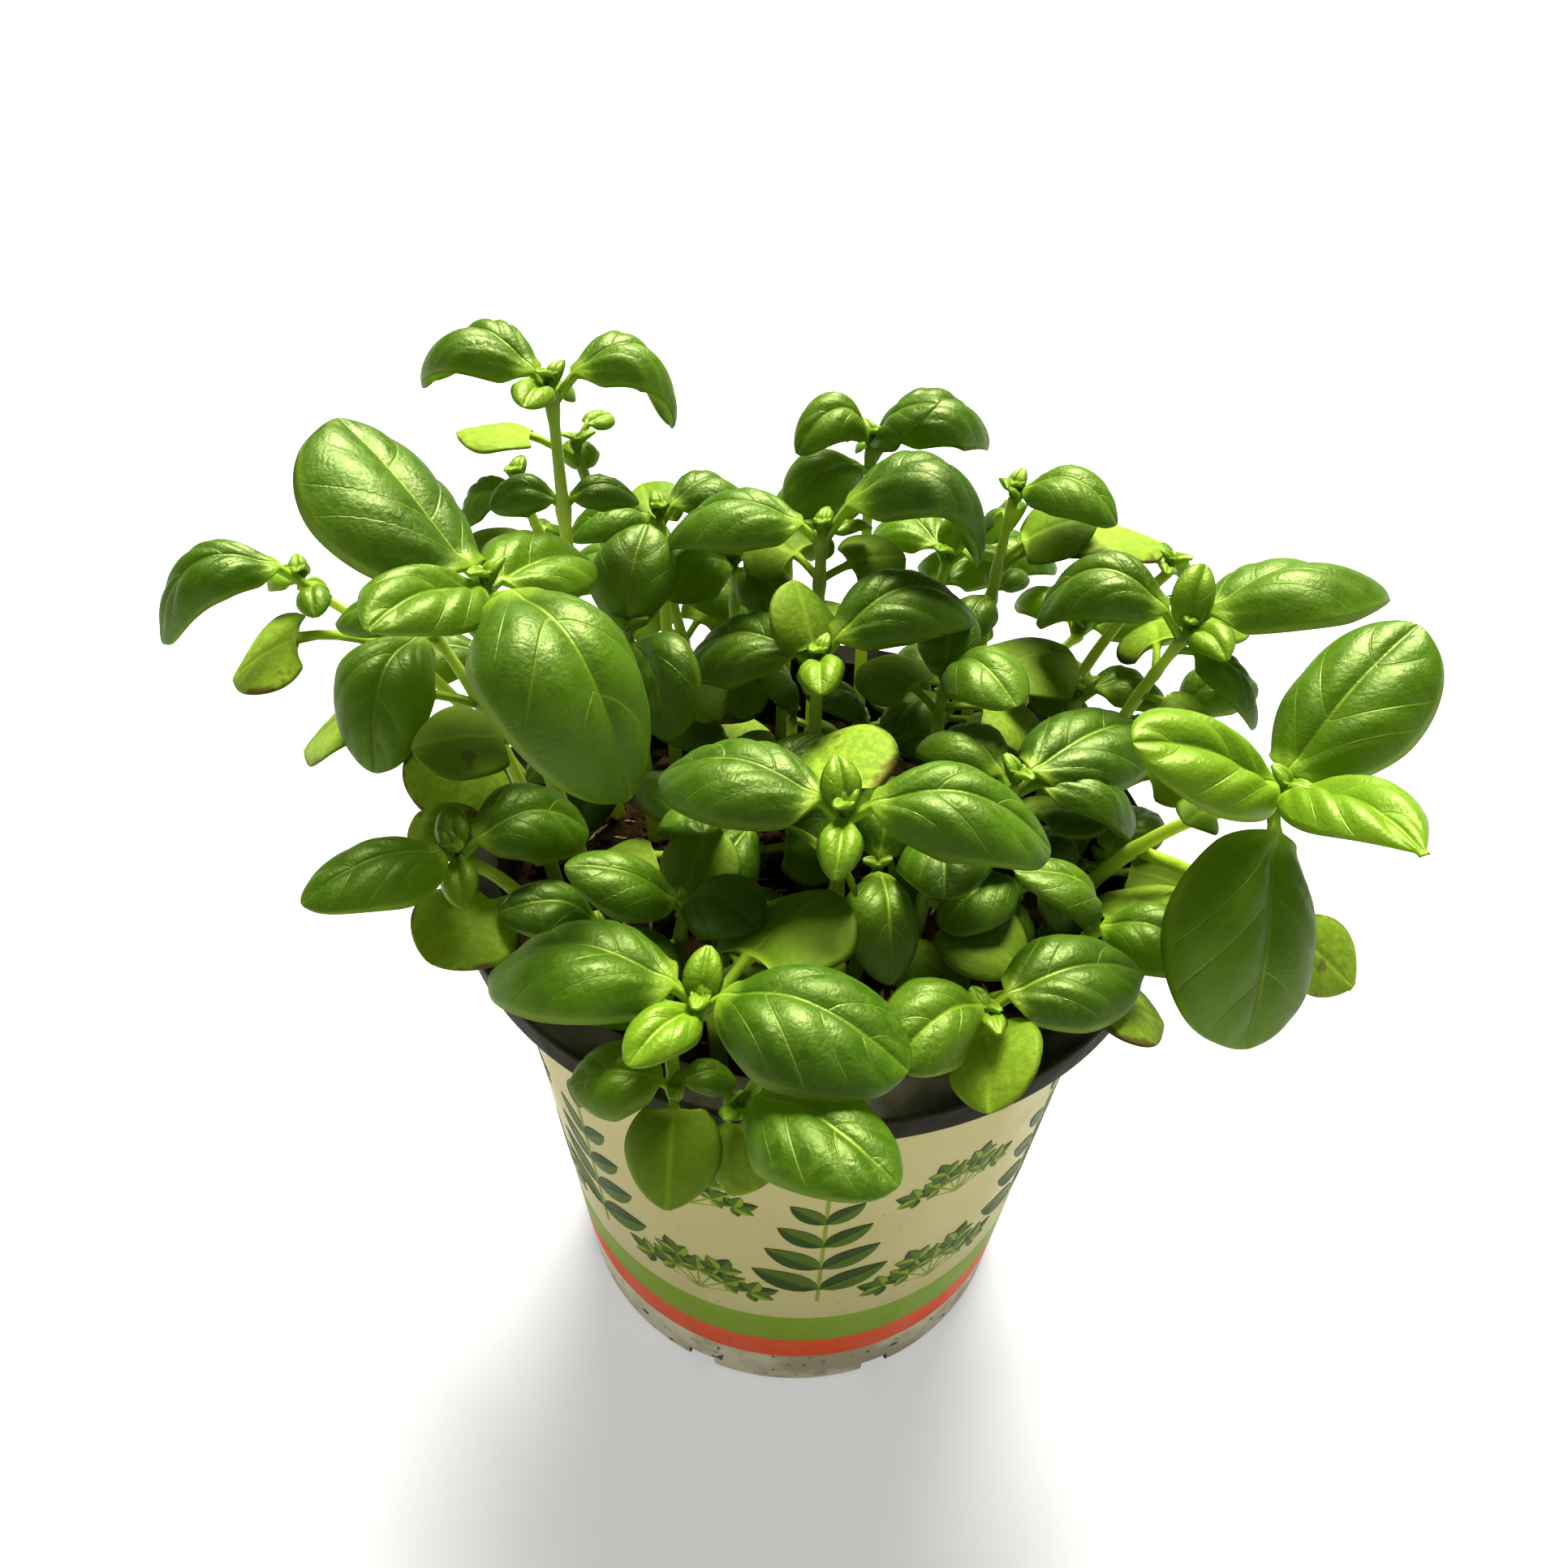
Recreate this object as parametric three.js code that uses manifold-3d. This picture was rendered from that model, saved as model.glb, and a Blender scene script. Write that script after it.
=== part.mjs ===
// A potted basil plant: a plastic nursery pot, the soil that fills it and the leafy stems that grow in it.
// Millimetres, +Z up. The origin is the middle of the pot's underside.
// -Y is the side with the lowest leaves.
import * as THREE from "three";
import { mergeVertices } from "three/addons/utils/BufferGeometryUtils.js";
import Module from "manifold-3d";

const wasm = await Module();
wasm.setup();

// Driving dimensions of the pot
const RIM_RADIUS = 65;
const POT_HEIGHT = 115;
const LIP_WIDTH = 5.5;
const LIP_DEPTH = 5.4;
const LIP_THICKNESS = 1.3;
const LIP_EDGE = 1;
const LIP_DRAFT = 0.2;
const MOUTH_EDGE = 0.6;
const BASE_RADIUS = 48.5;
const WALL = 1.2;
const FLOOR = 2.2;
const BASE_EDGE = 1.2;
const ROUND_STEPS = 44;

// Raised channels under the floor, which end as notches in the pot's edge, and the drain slots in them
const CHANNELS = 8;
const CHANNEL = { width: 6, height: 3.6, start: 14, skin: 1.6 };
const SLOT = { width: 3.4, start: 26, end: 38 };

// Soil
const SOIL_LEVEL = 103;
const SOIL_CROWN = 1.1;
const SOIL_SHOULDER = 40;
const SOIL_EDGE = { low: 99, high: 101.2, inset: 1.5 };

// Stems
const ROOT_DEPTH = 8;
const STEM_SIDES = 4;
const STEM_STEPS = 3;
const STEM_FOOT_RADIUS = 1.5;
const STEM_TOP_RADIUS = 0.9;

// The hole in the soil follows the stem's lowest step
const HOLE_STEPS = 1;
const HOLE_GAP = 0.45;

// Play between pieces that touch, and how far a cutting box reaches past what it cuts
const GAP = 0.3;
const PAST = 1;

// Leaf blades
const BLADE = 1;
const STALK_HALF_WIDTH = 0.7;

// Colours
const LEAF_GREEN = 0x3f7f22;
const POT_CREAM = 0xe9e4cc;
const SOIL_BROWN = 0x2b2018;

const DEG = Math.PI / 180;
const vec = (x, y, z) => new THREE.Vector3(x, y, z);

// A true leaf is cupped and arched, a young one narrower, and a seed leaf flat, round and long-stalked.
// Stalk, width and arch are shares of the leaf's length. Curl is the turn from midrib to margin, in radians.
const TRUE_LEAF = { shape: "oval", stalk: 0.12, width: 0.78, curl: 1, puff: 0.07, arch: 0.24, bank: 0 };
const YOUNG_LEAF = { shape: "oval", stalk: 0.1, width: 0.66, curl: 0.6, puff: 0.1, arch: 0.18, bank: 0 };
const SEED_LEAF = { shape: "round", stalk: 0.34, width: 0.84, curl: 0.35, puff: 0, arch: 0.1, bank: 0 };

// A leaf leaves the stem at `node`, from 0 at the root to 1 at the growing tip.
// It heads for an azimuth and a rise in degrees.
const grown = (kind) => (node, azimuth, rise, length, more) => {
  return { node, azimuth, rise, length, ...kind, ...more };
};
const leaf = grown(TRUE_LEAF);
const young = grown(YOUNG_LEAF);
const seed = grown(SEED_LEAF);

// A stem goes from its root through the soil to its growing tip. Lean and lift place the bend between them.
const UPRIGHT = { lean: 0.72, lift: 0.62 };
const stem = (name, root, tip, route, leaves) => ({ name, root, tip, ...UPRIGHT, ...route, leaves });

// The stems, from the tall ones at the back to the low ones at the front,
// then those on the far side and the inner ones
const STEMS = [
  stem("basil_tall_back", [-44, 21], [-45, 20, 190], {}, [
    leaf(0.97, 155, 5, 28, { width: 0.76, arch: 0.34 }),
    leaf(0.97, 30, -10, 26, { width: 0.8, arch: 0.42 }),
    young(1, 90, -15, 13, { bank: 35, width: 0.68, arch: 0.1 }),
    young(1, -105, 15, 11, { bank: -15, arch: 0.16 }),
    leaf(0.72, -175, 5, 13, { bank: -30, arch: 0.28 }),
    leaf(0.72, 20, 5, 14, { bank: 20, width: 0.76, arch: 0.26 }),
  ]),
  stem("basil_back_thin", [-35, 36], [-47, 49, 166], { lean: 0.3, lift: 0.7 }, [
    leaf(0.9, 110, 25, 11, { bank: -10, arch: 0.22 }),
    young(1, 50, 35, 11, { bank: 5, width: 0.64, arch: 0.22, stalk: 0.5 }),
    seed(0.95, -175, 20, 24, { bank: 10, width: 0.82, arch: 0.12, stalk: 0.45 }),
    seed(0.6, 80, 5, 18, { bank: 30 }),
  ]),
  stem("basil_back_left", [-42, 29], [-56, 35, 166], { lean: 0.3, lift: 0.7 }, [
    leaf(0.97, 170, -30, 16, { bank: -20 }),
    young(1, -45, 10, 6, { bank: 20, arch: 0.16 }),
    leaf(0.8, 80, -35, 12, { bank: 20 }),
    seed(0.72, 175, 5, 18, { bank: -10, width: 0.82, arch: 0.12 }),
  ]),
  stem("basil_far_left", [-43, 3], [-94, 21, 152], { lean: 0.3, lift: 0.75 }, [
    leaf(0.95, -160, -5, 32, { bank: -5, width: 0.6, arch: 0.38, stalk: 0.16 }),
    leaf(0.97, -70, 5, 10, { bank: 5 }),
    young(1, 135, -15, 14, { bank: -15, width: 0.68, arch: 0.1 }),
    young(1, 45, -30, 6, { bank: 20 }),
    seed(0.72, -175, -5, 32, { bank: -20, width: 0.58, arch: 0.16, stalk: 0.55 }),
  ]),
  stem("basil_left_big", [-38, -8], [-51, -12, 172], {}, [
    leaf(0.97, 145, 35, 37, { bank: 20, width: 1, arch: 0.08, stalk: 0.14 }),
    leaf(0.97, -50, -20, 42, { bank: -5, width: 0.76, arch: 0.34 }),
    young(1, -115, 20, 26, { bank: -15, width: 0.68, arch: 0.1 }),
    young(1, 60, -10, 25, { bank: 20, width: 0.72, arch: 0.1 }),
    seed(0.5, -160, 20, 22, { width: 0.86, arch: 0.12 }),
  ]),
  stem("basil_left_mid", [-46, -6], [-68, 10, 150], { lean: 0.3, lift: 0.7 }, [
    leaf(0.97, -105, -20, 29, { bank: -15, width: 0.68, arch: 0.34 }),
    leaf(0.97, 175, 10, 19, { width: 0.76, arch: 0.26 }),
    young(1, 85, -25, 10, { bank: 30, width: 0.68, arch: 0.14 }),
    seed(0.62, -100, -15, 22, { bank: -40, width: 1, arch: 0.08 }),
    seed(0.7, -170, -10, 33, { bank: 15, width: 0.82, arch: 0.18, stalk: 0.45 }),
  ]),
  stem("basil_left_front", [-41, -25], [-57, -31, 134], { lean: 0.3, lift: 0.8 }, [
    leaf(0.97, -140, 15, 26, { width: 0.76, arch: 0.18 }),
    leaf(0.97, 35, -5, 24, { bank: 20, width: 0.8, arch: 0.26 }),
    young(1, 100, 40, 9, { bank: -5 }),
    young(1, -70, -5, 10, { bank: 10, arch: 0.2 }),
    seed(0.55, -125, 5, 20, { bank: -15, width: 0.98, arch: 0.12, stalk: 0.3 }),
    seed(0.85, 140, 10, 16, { bank: -5, width: 0.82, arch: 0.12 }),
  ]),
  stem("basil_mid_left", [-30, 10], [-34, 14, 148], {}, [
    leaf(0.94, 80, 55, 23, { bank: 15, arch: 0.22 }),
    leaf(0.94, -65, -15, 22, { bank: 55, width: 0.76, arch: 0.28 }),
    young(1, 115, -40, 11, { bank: -20, arch: 0.16 }),
    seed(0.6, 20, 5, 26, { bank: 5, width: 0.82, arch: 0.12 }),
  ]),
  stem("basil_mid_back", [0, 30], [0, 23, 164], {}, [
    leaf(0.97, 170, 0, 31, { width: 0.76 }),
    leaf(0.97, 15, 0, 37, { bank: -15, width: 0.82, arch: 0.42 }),
    young(1, 50, -10, 13, { bank: -15, width: 0.68, arch: 0.14 }),
    young(1, 80, -50, 9, { bank: 30, arch: 0.2 }),
    seed(0.82, 140, 10, 18, { bank: -20, arch: 0.12 }),
    seed(0.82, 25, 5, 18, { bank: 20 }),
  ]),
  stem("basil_back_right", [11, 46], [9, 48, 170], {}, [
    leaf(0.97, -150, 25, 21, { bank: -25, width: 0.66, arch: 0.34 }),
    leaf(0.97, -35, 50, 19, { bank: 25, width: 0.8, arch: 0.16 }),
    leaf(0.9, -140, -5, 21, { bank: -20, arch: 0.26 }),
    leaf(0.93, 30, 5, 31, { width: 0.76, arch: 0.32 }),
    young(1, 100, -20, 9, { bank: -35, width: 0.68, arch: 0.12 }),
  ]),
  stem("basil_right_back", [32, 38], [36, 41, 164], { lean: 0.5, lift: 0.65 }, [
    leaf(0.97, -30, 15, 23, { bank: 10, arch: 0.26 }),
    leaf(0.9, 95, -40, 17, { bank: -35, arch: 0.26 }),
    young(1, -110, 40, 9, { bank: -35, width: 0.68, arch: 0.1 }),
    seed(0.7, -5, 40, 22, { bank: 10, width: 0.82, arch: 0.12 }),
    seed(0.7, 10, 10, 34, { bank: -10, width: 0.8, arch: 0.16 }),
    leaf(0.6, -120, -5, 14),
    leaf(0.6, 60, 0, 14),
  ]),
  stem("basil_right_rear", [41, 23], [68, 40, 150], { lean: 0.3, lift: 0.75 }, [
    leaf(0.97, 65, -10, 15, { bank: 20, width: 0.82, arch: 0.22 }),
    leaf(0.9, 160, -25, 13, { bank: -20 }),
    young(1, -110, 30, 7, { bank: -20, arch: 0.16 }),
    seed(0.8, 0, -5, 25, { bank: -15, width: 0.82, arch: 0.14 }),
  ]),
  stem("basil_right_mid", [45, 10], [64, 11, 154], { lean: 0.5, lift: 0.65 }, [
    leaf(0.97, 155, 0, 31, { bank: -15, width: 0.68, arch: 0.34 }),
    leaf(0.97, 20, 10, 37, { bank: -20, width: 0.9, arch: 0.26 }),
    young(1, 70, 65, 13, { bank: 20, width: 0.64, arch: 0.2 }),
    young(1, -70, 15, 12, { bank: 25, arch: 0.2 }),
    seed(0.8, 80, 5, 17, { bank: -45, width: 0.98, arch: 0.14 }),
    leaf(0.92, -20, -30, 21, { bank: -5 }),
    seed(0.7, -40, 0, 14, { bank: 5 }),
  ]),
  stem("basil_right_big", [42, -12], [71, -28, 150], { lean: 0.3, lift: 0.7 }, [
    leaf(0.97, 40, 40, 35, { bank: -5, width: 0.75, arch: 0.12 }),
    leaf(0.97, -95, -50, 40, { bank: -30, width: 0.8, arch: 0.14 }),
    young(1, -170, 30, 30, { bank: -10, width: 0.7, arch: 0.1 }),
    young(1, -70, 25, 29, { arch: 0.16 }),
    seed(0.52, -20, -20, 44, { bank: 30, width: 0.32, arch: 0.06, stalk: 0.7 }),
    seed(0.8, -135, 20, 10, { bank: -15, width: 0.82 }),
  ]),
  stem("basil_right_low", [47, -1], [67, 12, 134], { lean: 0.3, lift: 0.8 }, [
    leaf(0.97, 30, 20, 20, { arch: 0.28 }),
    leaf(0.9, 125, -50, 18, { bank: -15, arch: 0.3 }),
    seed(0.55, 5, 20, 20, { bank: 10 }),
  ]),
  stem("basil_center_back", [0, 8], [0, 4, 150], {}, [
    leaf(0.97, 155, -10, 28, { bank: -15, arch: 0.22 }),
    leaf(0.97, 30, 10, 34, { bank: 20, width: 0.62, arch: 0.28 }),
    young(1, 85, -40, 13, { bank: 15, width: 0.68, arch: 0.16 }),
    young(1, -90, 15, 13, { bank: 20, width: 0.68, arch: 0.2 }),
    seed(0.88, 115, 55, 19, { bank: 15, width: 0.82, arch: 0.12 }),
    seed(0.6, -150, -20, 18, { bank: -20, arch: 0.12 }),
  ]),
  stem("basil_center_right", [22, 14], [23, 10, 142], {}, [
    leaf(0.95, 85, 35, 19, { width: 0.74, arch: 0.26 }),
    leaf(0.95, -60, 30, 22, { bank: 20, arch: 0.32 }),
    seed(0.8, 140, 10, 19, { bank: -5, arch: 0.12 }),
    seed(0.75, 30, 20, 30, { bank: -10, width: 0.82, arch: 0.12, stalk: 0.45 }),
    seed(0.85, -5, -10, 21, { arch: 0.12 }),
  ]),
  stem("basil_center_far", [-16, 34], [-16, 36, 150], {}, [
    leaf(0.97, -130, 10, 19, { bank: -30, arch: 0.26 }),
    leaf(0.97, -50, -5, 18, { bank: 5 }),
    seed(0.8, 100, 35, 22, { bank: -35, width: 0.78, arch: 0.12 }),
  ]),
  stem("basil_back_dark", [-28, 32], [-30, 35, 160], {}, [
    leaf(0.97, -160, 5, 18, { bank: -15, arch: 0.26 }),
    leaf(0.97, 40, 0, 22, { width: 0.76, arch: 0.32 }),
    seed(0.85, 110, 25, 18, { bank: -10, width: 0.8, arch: 0.12 }),
  ]),
  stem("basil_front_mid", [4, -18], [4, -34, 148], {}, [
    leaf(0.97, 155, 0, 33, { bank: 5, width: 0.8, arch: 0.2 }),
    leaf(0.97, -5, 0, 33, { bank: 15, width: 0.66, arch: 0.26 }),
    young(1, 105, 50, 10, { bank: -5, width: 0.68 }),
    young(1, -95, -5, 12, { bank: -5 }),
    seed(0.8, 100, 10, 24, { bank: -35, width: 1 }),
    seed(0.5, -120, 65, 21, { bank: -20, arch: 0.12 }),
  ]),
  stem("basil_right_center", [30, -4], [33, -15, 140], {}, [
    leaf(0.97, 35, 5, 32, { bank: 10, width: 0.7, arch: 0.12 }),
    leaf(0.9, 130, 0, 22, { bank: -5, arch: 0.32 }),
    leaf(0.9, 15, -20, 28, { bank: -10, arch: 0.28 }),
    seed(0.6, 30, -5, 23, { bank: -15, width: 0.82, arch: 0.12 }),
  ]),
  stem("basil_under_right", [16, -28], [21, -19, 130], {}, [
    leaf(0.97, -95, 25, 22, { bank: 5, width: 0.8, arch: 0.22 }),
    leaf(0.97, -5, 5, 15, { bank: 5 }),
    seed(0.6, -45, 0, 22, { bank: 5, width: 0.82 }),
    seed(0.7, 35, -30, 16, { bank: -10, width: 0.82 }),
  ]),
  stem("basil_under_left", [6, -34], [11, -22, 126], {}, [
    leaf(0.97, -85, -10, 22, { bank: -10, width: 0.72, arch: 0.36 }),
    leaf(0.97, 75, 30, 20),
    seed(0.6, -150, -15, 22),
    seed(0.6, -35, -10, 22, { bank: -20 }),
  ]),
  stem("basil_front_left", [-14, -44], [-16, -57, 130], { lean: 0.3, lift: 0.8 }, [
    leaf(0.97, 165, 0, 35, { bank: 5, width: 0.8, arch: 0.26 }),
    leaf(0.97, -25, 10, 33, { arch: 0.26 }),
    young(1, 85, 50, 10, { width: 0.64 }),
    young(1, -125, 15, 16, { bank: -5 }),
    seed(0.75, 50, 15, 28, { bank: -25, width: 0.96, arch: 0.08 }),
    seed(0.6, -170, 15, 22, { bank: 30, width: 0.82, arch: 0.08 }),
  ]),
  stem("basil_front_lip", [2, -44], [-10, -68, 121], { lean: 0.2, lift: 1.4 }, [
    leaf(0.97, -40, 20, 29, { arch: 0.2 }),
    young(1, -110, 50, 7, { arch: 0.16 }),
    young(1, 100, -25, 7, { bank: -10, arch: 0.16 }),
    seed(0.9, -100, -30, 15, { bank: 20, width: 0.8, arch: 0.08 }),
  ]),
  stem("basil_front_edge", [-24, -40], [-19, -67, 123], { lean: 0.2, lift: 1.35 }, [
    leaf(0.97, 175, 0, 16, { bank: -10, width: 0.9, arch: 0.2 }),
    leaf(0.97, 25, -10, 10, { bank: 5, arch: 0.26 }),
    seed(0.97, -90, -40, 17, { width: 0.86, stalk: 0.15 }),
  ]),
  stem("basil_front_right", [26, -38], [26, -54, 128], { lean: 0.3, lift: 0.9 }, [
    leaf(0.97, -140, 15, 21, { bank: -25, width: 0.8, arch: 0.22 }),
    leaf(0.97, 20, 5, 27, { arch: 0.18 }),
    young(1, -85, 30, 7, { bank: 5, arch: 0.16 }),
    young(1, 135, 45, 5, { bank: -5 }),
    seed(0.7, -90, 0, 20, { bank: 40, width: 0.82, stalk: 0.35 }),
    seed(0.7, 0, -5, 30, { bank: -10, width: 0.54, arch: 0.16, stalk: 0.55 }),
  ]),
  stem("basil_left_under", [-24, -24], [-21, -31, 124], {}, [
    leaf(0.97, -175, 35, 22, { bank: -5, width: 0.8, arch: 0.16 }),
    leaf(0.97, -40, 30, 19, { bank: 15 }),
    seed(0.7, 70, 50, 19, { bank: -10, arch: 0.14 }),
    seed(0.6, -130, -10, 14, { bank: 10 }),
  ]),
  stem("basil_left_rim", [-34, -33], [-35, -31, 118], {}, [
    leaf(0.97, 195, 35, 19, { bank: -10, arch: 0.26 }),
    leaf(0.97, -45, 5, 20, { arch: 0.22 }),
    seed(0.6, -135, 35, 18),
  ]),
  stem("basil_right_rim", [40, -26], [46, -31, 122], {}, [
    leaf(0.97, -175, 50, 22, { arch: 0.28 }),
    leaf(0.97, -30, 15, 21, { bank: 15, arch: 0.26 }),
    seed(0.7, 25, 25, 21, { bank: -15, width: 0.82 }),
  ]),
  stem("basil_mid_low", [-12, -4], [-10, -10, 126], {}, [
    leaf(0.97, -115, -15, 19, { bank: -10, width: 0.76, arch: 0.16 }),
    leaf(0.97, 40, 50, 20, { arch: 0.22 }),
    seed(0.6, -95, -25, 20, { bank: -10, width: 0.82 }),
    seed(0.6, -5, 5, 18, { bank: 10 }),
  ]),
  stem("basil_right_dark", [40, 6], [49, 16, 136], {}, [
    leaf(0.97, 115, -10, 22, { bank: -5, width: 0.8, arch: 0.2 }),
    leaf(0.97, 20, -15, 22, { arch: 0.32 }),
    seed(0.7, 85, 20, 15, { bank: 15 }),
  ]),
  stem("basil_low_back", [-4, 22], [-4, 21, 126], {}, [
    leaf(0.97, -150, 55, 22, { bank: -15, width: 0.8 }),
    leaf(0.97, -10, -55, 18, { bank: 10 }),
    seed(0.6, -100, -5, 15, { bank: -20 }),
  ]),
  stem("basil_rear_left", [-23, 41], [-33, 57, 137], { lean: 0.3, lift: 0.75 }, [
    leaf(0.97, 165, -15, 27),
    leaf(0.97, -20, -15, 24),
    leaf(0.76, 95, -5, 25),
    young(1, 110, 45, 12),
    young(1, -60, 40, 9),
    seed(0.55, 55, 20, 16),
    seed(0.55, 140, 5, 16),
  ]),
  stem("basil_rear_mid", [-6, 46], [-6, 66, 140], { lean: 0.3, lift: 0.75 }, [
    leaf(0.97, 150, -5, 29),
    leaf(0.97, 60, 5, 27),
    leaf(0.78, 90, -10, 26),
    young(1, 100, 75, 12),
    young(1, -80, 45, 9),
    seed(0.5, 40, 5, 17),
    seed(0.5, 130, 5, 17),
  ]),
  stem("basil_rear_right", [20, 41], [28, 61, 139], { lean: 0.3, lift: 0.75 }, [
    leaf(0.97, 120, -5, 27),
    leaf(0.97, 10, 0, 26),
    leaf(0.76, 65, -10, 26),
    young(1, 60, 75, 12),
    young(1, -120, 45, 9),
    seed(0.55, 20, 5, 16),
    seed(0.55, 110, 5, 16),
  ]),
  stem("basil_rear_side_left", [-45, 12], [-63, 30, 131], { lean: 0.2, lift: 0.95 }, [
    leaf(0.97, 185, -5, 24),
    leaf(0.97, 95, 0, 24),
    young(1, 130, 75, 10),
    seed(0.6, 150, 0, 15),
    seed(0.6, 70, 50, 15),
  ]),
  stem("basil_rear_side_right", [37, 30], [55, 46, 131], { lean: 0.2, lift: 0.95 }, [
    leaf(0.97, 105, -5, 24),
    leaf(0.97, 15, 0, 24),
    young(1, 50, 75, 10),
    seed(0.6, 30, 0, 15),
    seed(0.6, 120, -5, 15),
  ]),
  stem("basil_sprout_1", [-14, 12], [-15, 13, 122], {}, [
    leaf(1, 150, 5, 18),
    leaf(1, -50, 5, 18),
    seed(0.8, 85, 5, 17),
    seed(0.8, -120, 0, 17),
  ]),
  stem("basil_sprout_2", [12, -6], [13, -8, 124], {}, [
    leaf(1, 20, 5, 19),
    leaf(1, -160, 5, 19),
    seed(0.8, 105, 5, 18),
    seed(0.8, -70, -40, 18),
  ]),
  stem("basil_sprout_3", [25, 26], [26, 28, 126], {}, [
    leaf(1, 105, 5, 20),
    leaf(1, -130, 5, 20),
    seed(0.8, 140, 5, 18),
    seed(0.8, -30, 5, 18),
  ]),
  stem("basil_sprout_4", [-20, -12], [-22, -13, 123], {}, [
    leaf(1, 110, 10, 19),
    leaf(1, -70, 50, 19),
    seed(0.8, 65, 15, 15),
    seed(0.8, -160, 5, 18),
  ]),
  stem("basil_sprout_5", [9, 19], [10, 21, 124], {}, [
    leaf(1, 0, -20, 18),
    leaf(1, 200, 45, 18),
    seed(0.8, 45, -40, 17),
    seed(0.8, -90, 20, 17),
  ]),
  stem("basil_inner_left", [-38, 18], [-41, 17, 119], {}, [
    leaf(1, -135, 10, 18),
    leaf(1, 220, 45, 16),
    leaf(0.85, -100, -15, 18),
    young(1, 45, 40, 9),
  ]),
  stem("basil_inner_right", [34, -16], [36, -20, 122], {}, [
    leaf(1, -5, -45, 16),
    leaf(1, 215, 5, 19),
    leaf(0.85, 60, 5, 19),
    leaf(0.85, -100, -45, 14),
    young(1, 60, 40, 9),
  ]),
  stem("basil_inner_front", [-13, -29], [-15, -32, 119], {}, [
    leaf(1, 10, 5, 15),
    leaf(1, -110, -45, 15),
    seed(0.85, 100, 5, 18),
    seed(0.85, -55, 0, 17),
    young(1, 75, 40, 9),
  ]),
  stem("basil_inner_edge", [50, -9], [52, -10, 118], {}, [
    leaf(1, 45, 15, 18),
    leaf(1, -195, -40, 13),
    seed(0.85, 150, 5, 17),
    seed(0.85, -20, 10, 17),
  ]),
];

// Closed mesh to solid and back

function solidOf(geometry) {
  geometry.deleteAttribute("normal");
  geometry.deleteAttribute("uv");
  const merged = mergeVertices(geometry, 1e-4);
  return new wasm.Manifold(
    new wasm.Mesh({
      numProp: 3,
      vertProperties: new Float32Array(merged.attributes.position.array),
      triVerts: new Uint32Array(merged.index.array),
    }),
  );
}

function geometryOf(solid) {
  const { vertProperties, triVerts } = solid.getMesh();
  const geometry = new THREE.BufferGeometry();
  geometry.setAttribute("position", new THREE.BufferAttribute(new Float32Array(vertProperties), 3));
  geometry.setIndex(new THREE.BufferAttribute(new Uint32Array(triVerts), 1));
  geometry.computeVertexNormals();
  return geometry;
}

function indexed(points, triangles) {
  const geometry = new THREE.BufferGeometry().setFromPoints(points);
  geometry.setIndex(triangles);
  return geometry;
}

// Revolves a profile of [radius, height] pairs, which starts and ends on the axis, about Z
function turned(profile, steps) {
  const points = profile.map(([radius, height]) => new THREE.Vector2(radius, height));
  return solidOf(new THREE.LatheGeometry(points, steps).rotateX(Math.PI / 2));
}

// A box from radius `start` to `end` along +X, turned about Z
function radialBox(start, end, width, bottom, top, angle) {
  const box = new THREE.BoxGeometry(end - start, width, top - bottom);
  box.translate((start + end) / 2, 0, (bottom + top) / 2);
  box.rotateZ(angle);
  return solidOf(box);
}

// Pot

const bodyTopRadius = RIM_RADIUS - LIP_WIDTH - 1;
const lipBottom = POT_HEIGHT - LIP_DEPTH;
const outerRadius = (z) => BASE_RADIUS + ((bodyTopRadius - BASE_RADIUS) * z) / lipBottom;
const channelAngles = Array.from({ length: CHANNELS }, (_, i) => ((i + 0.5) / CHANNELS) * 2 * Math.PI);

function potProfile() {
  const flange = POT_HEIGHT - LIP_THICKNESS;
  const skirt = RIM_RADIUS - LIP_THICKNESS;
  return [
    [0, 0],
    [outerRadius(0) - BASE_EDGE, 0],
    [outerRadius(BASE_EDGE), BASE_EDGE],
    [bodyTopRadius, lipBottom],
    [bodyTopRadius, flange],
    [skirt, flange],
    [skirt, lipBottom],
    [RIM_RADIUS - LIP_DRAFT, lipBottom],
    [RIM_RADIUS, POT_HEIGHT - LIP_EDGE],
    [RIM_RADIUS - LIP_EDGE, POT_HEIGHT],
    [bodyTopRadius - WALL + MOUTH_EDGE, POT_HEIGHT],
    [bodyTopRadius - WALL, POT_HEIGHT - MOUTH_EDGE],
    [bodyTopRadius - WALL, lipBottom],
    [outerRadius(FLOOR) - WALL, FLOOR],
    [0, FLOOR],
  ];
}

function pot() {
  let body = turned(potProfile(), ROUND_STEPS);
  const { width, height, start, skin } = CHANNEL;
  const humpTop = height + skin;
  for (const angle of channelAngles) {
    const hump = radialBox(start - skin, BASE_RADIUS - WALL / 2, width + 2 * skin, FLOOR / 2, humpTop, angle);
    body = body.add(hump);
  }
  for (const angle of channelAngles) {
    body = body.subtract(radialBox(start, BASE_RADIUS + PAST, width, -PAST, height, angle));
    body = body.subtract(radialBox(SLOT.start, SLOT.end, SLOT.width, height - PAST, humpTop + PAST, angle));
  }
  return body;
}

// Soil

function soilProfile() {
  const inside = (z) => outerRadius(z) - WALL - GAP;
  return [
    [0, FLOOR + GAP],
    [inside(FLOOR + GAP), FLOOR + GAP],
    [inside(SOIL_EDGE.low), SOIL_EDGE.low],
    [inside(SOIL_LEVEL) - SOIL_EDGE.inset, SOIL_EDGE.high],
    [SOIL_SHOULDER, SOIL_LEVEL],
    [0, SOIL_LEVEL + SOIL_CROWN],
  ];
}

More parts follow.
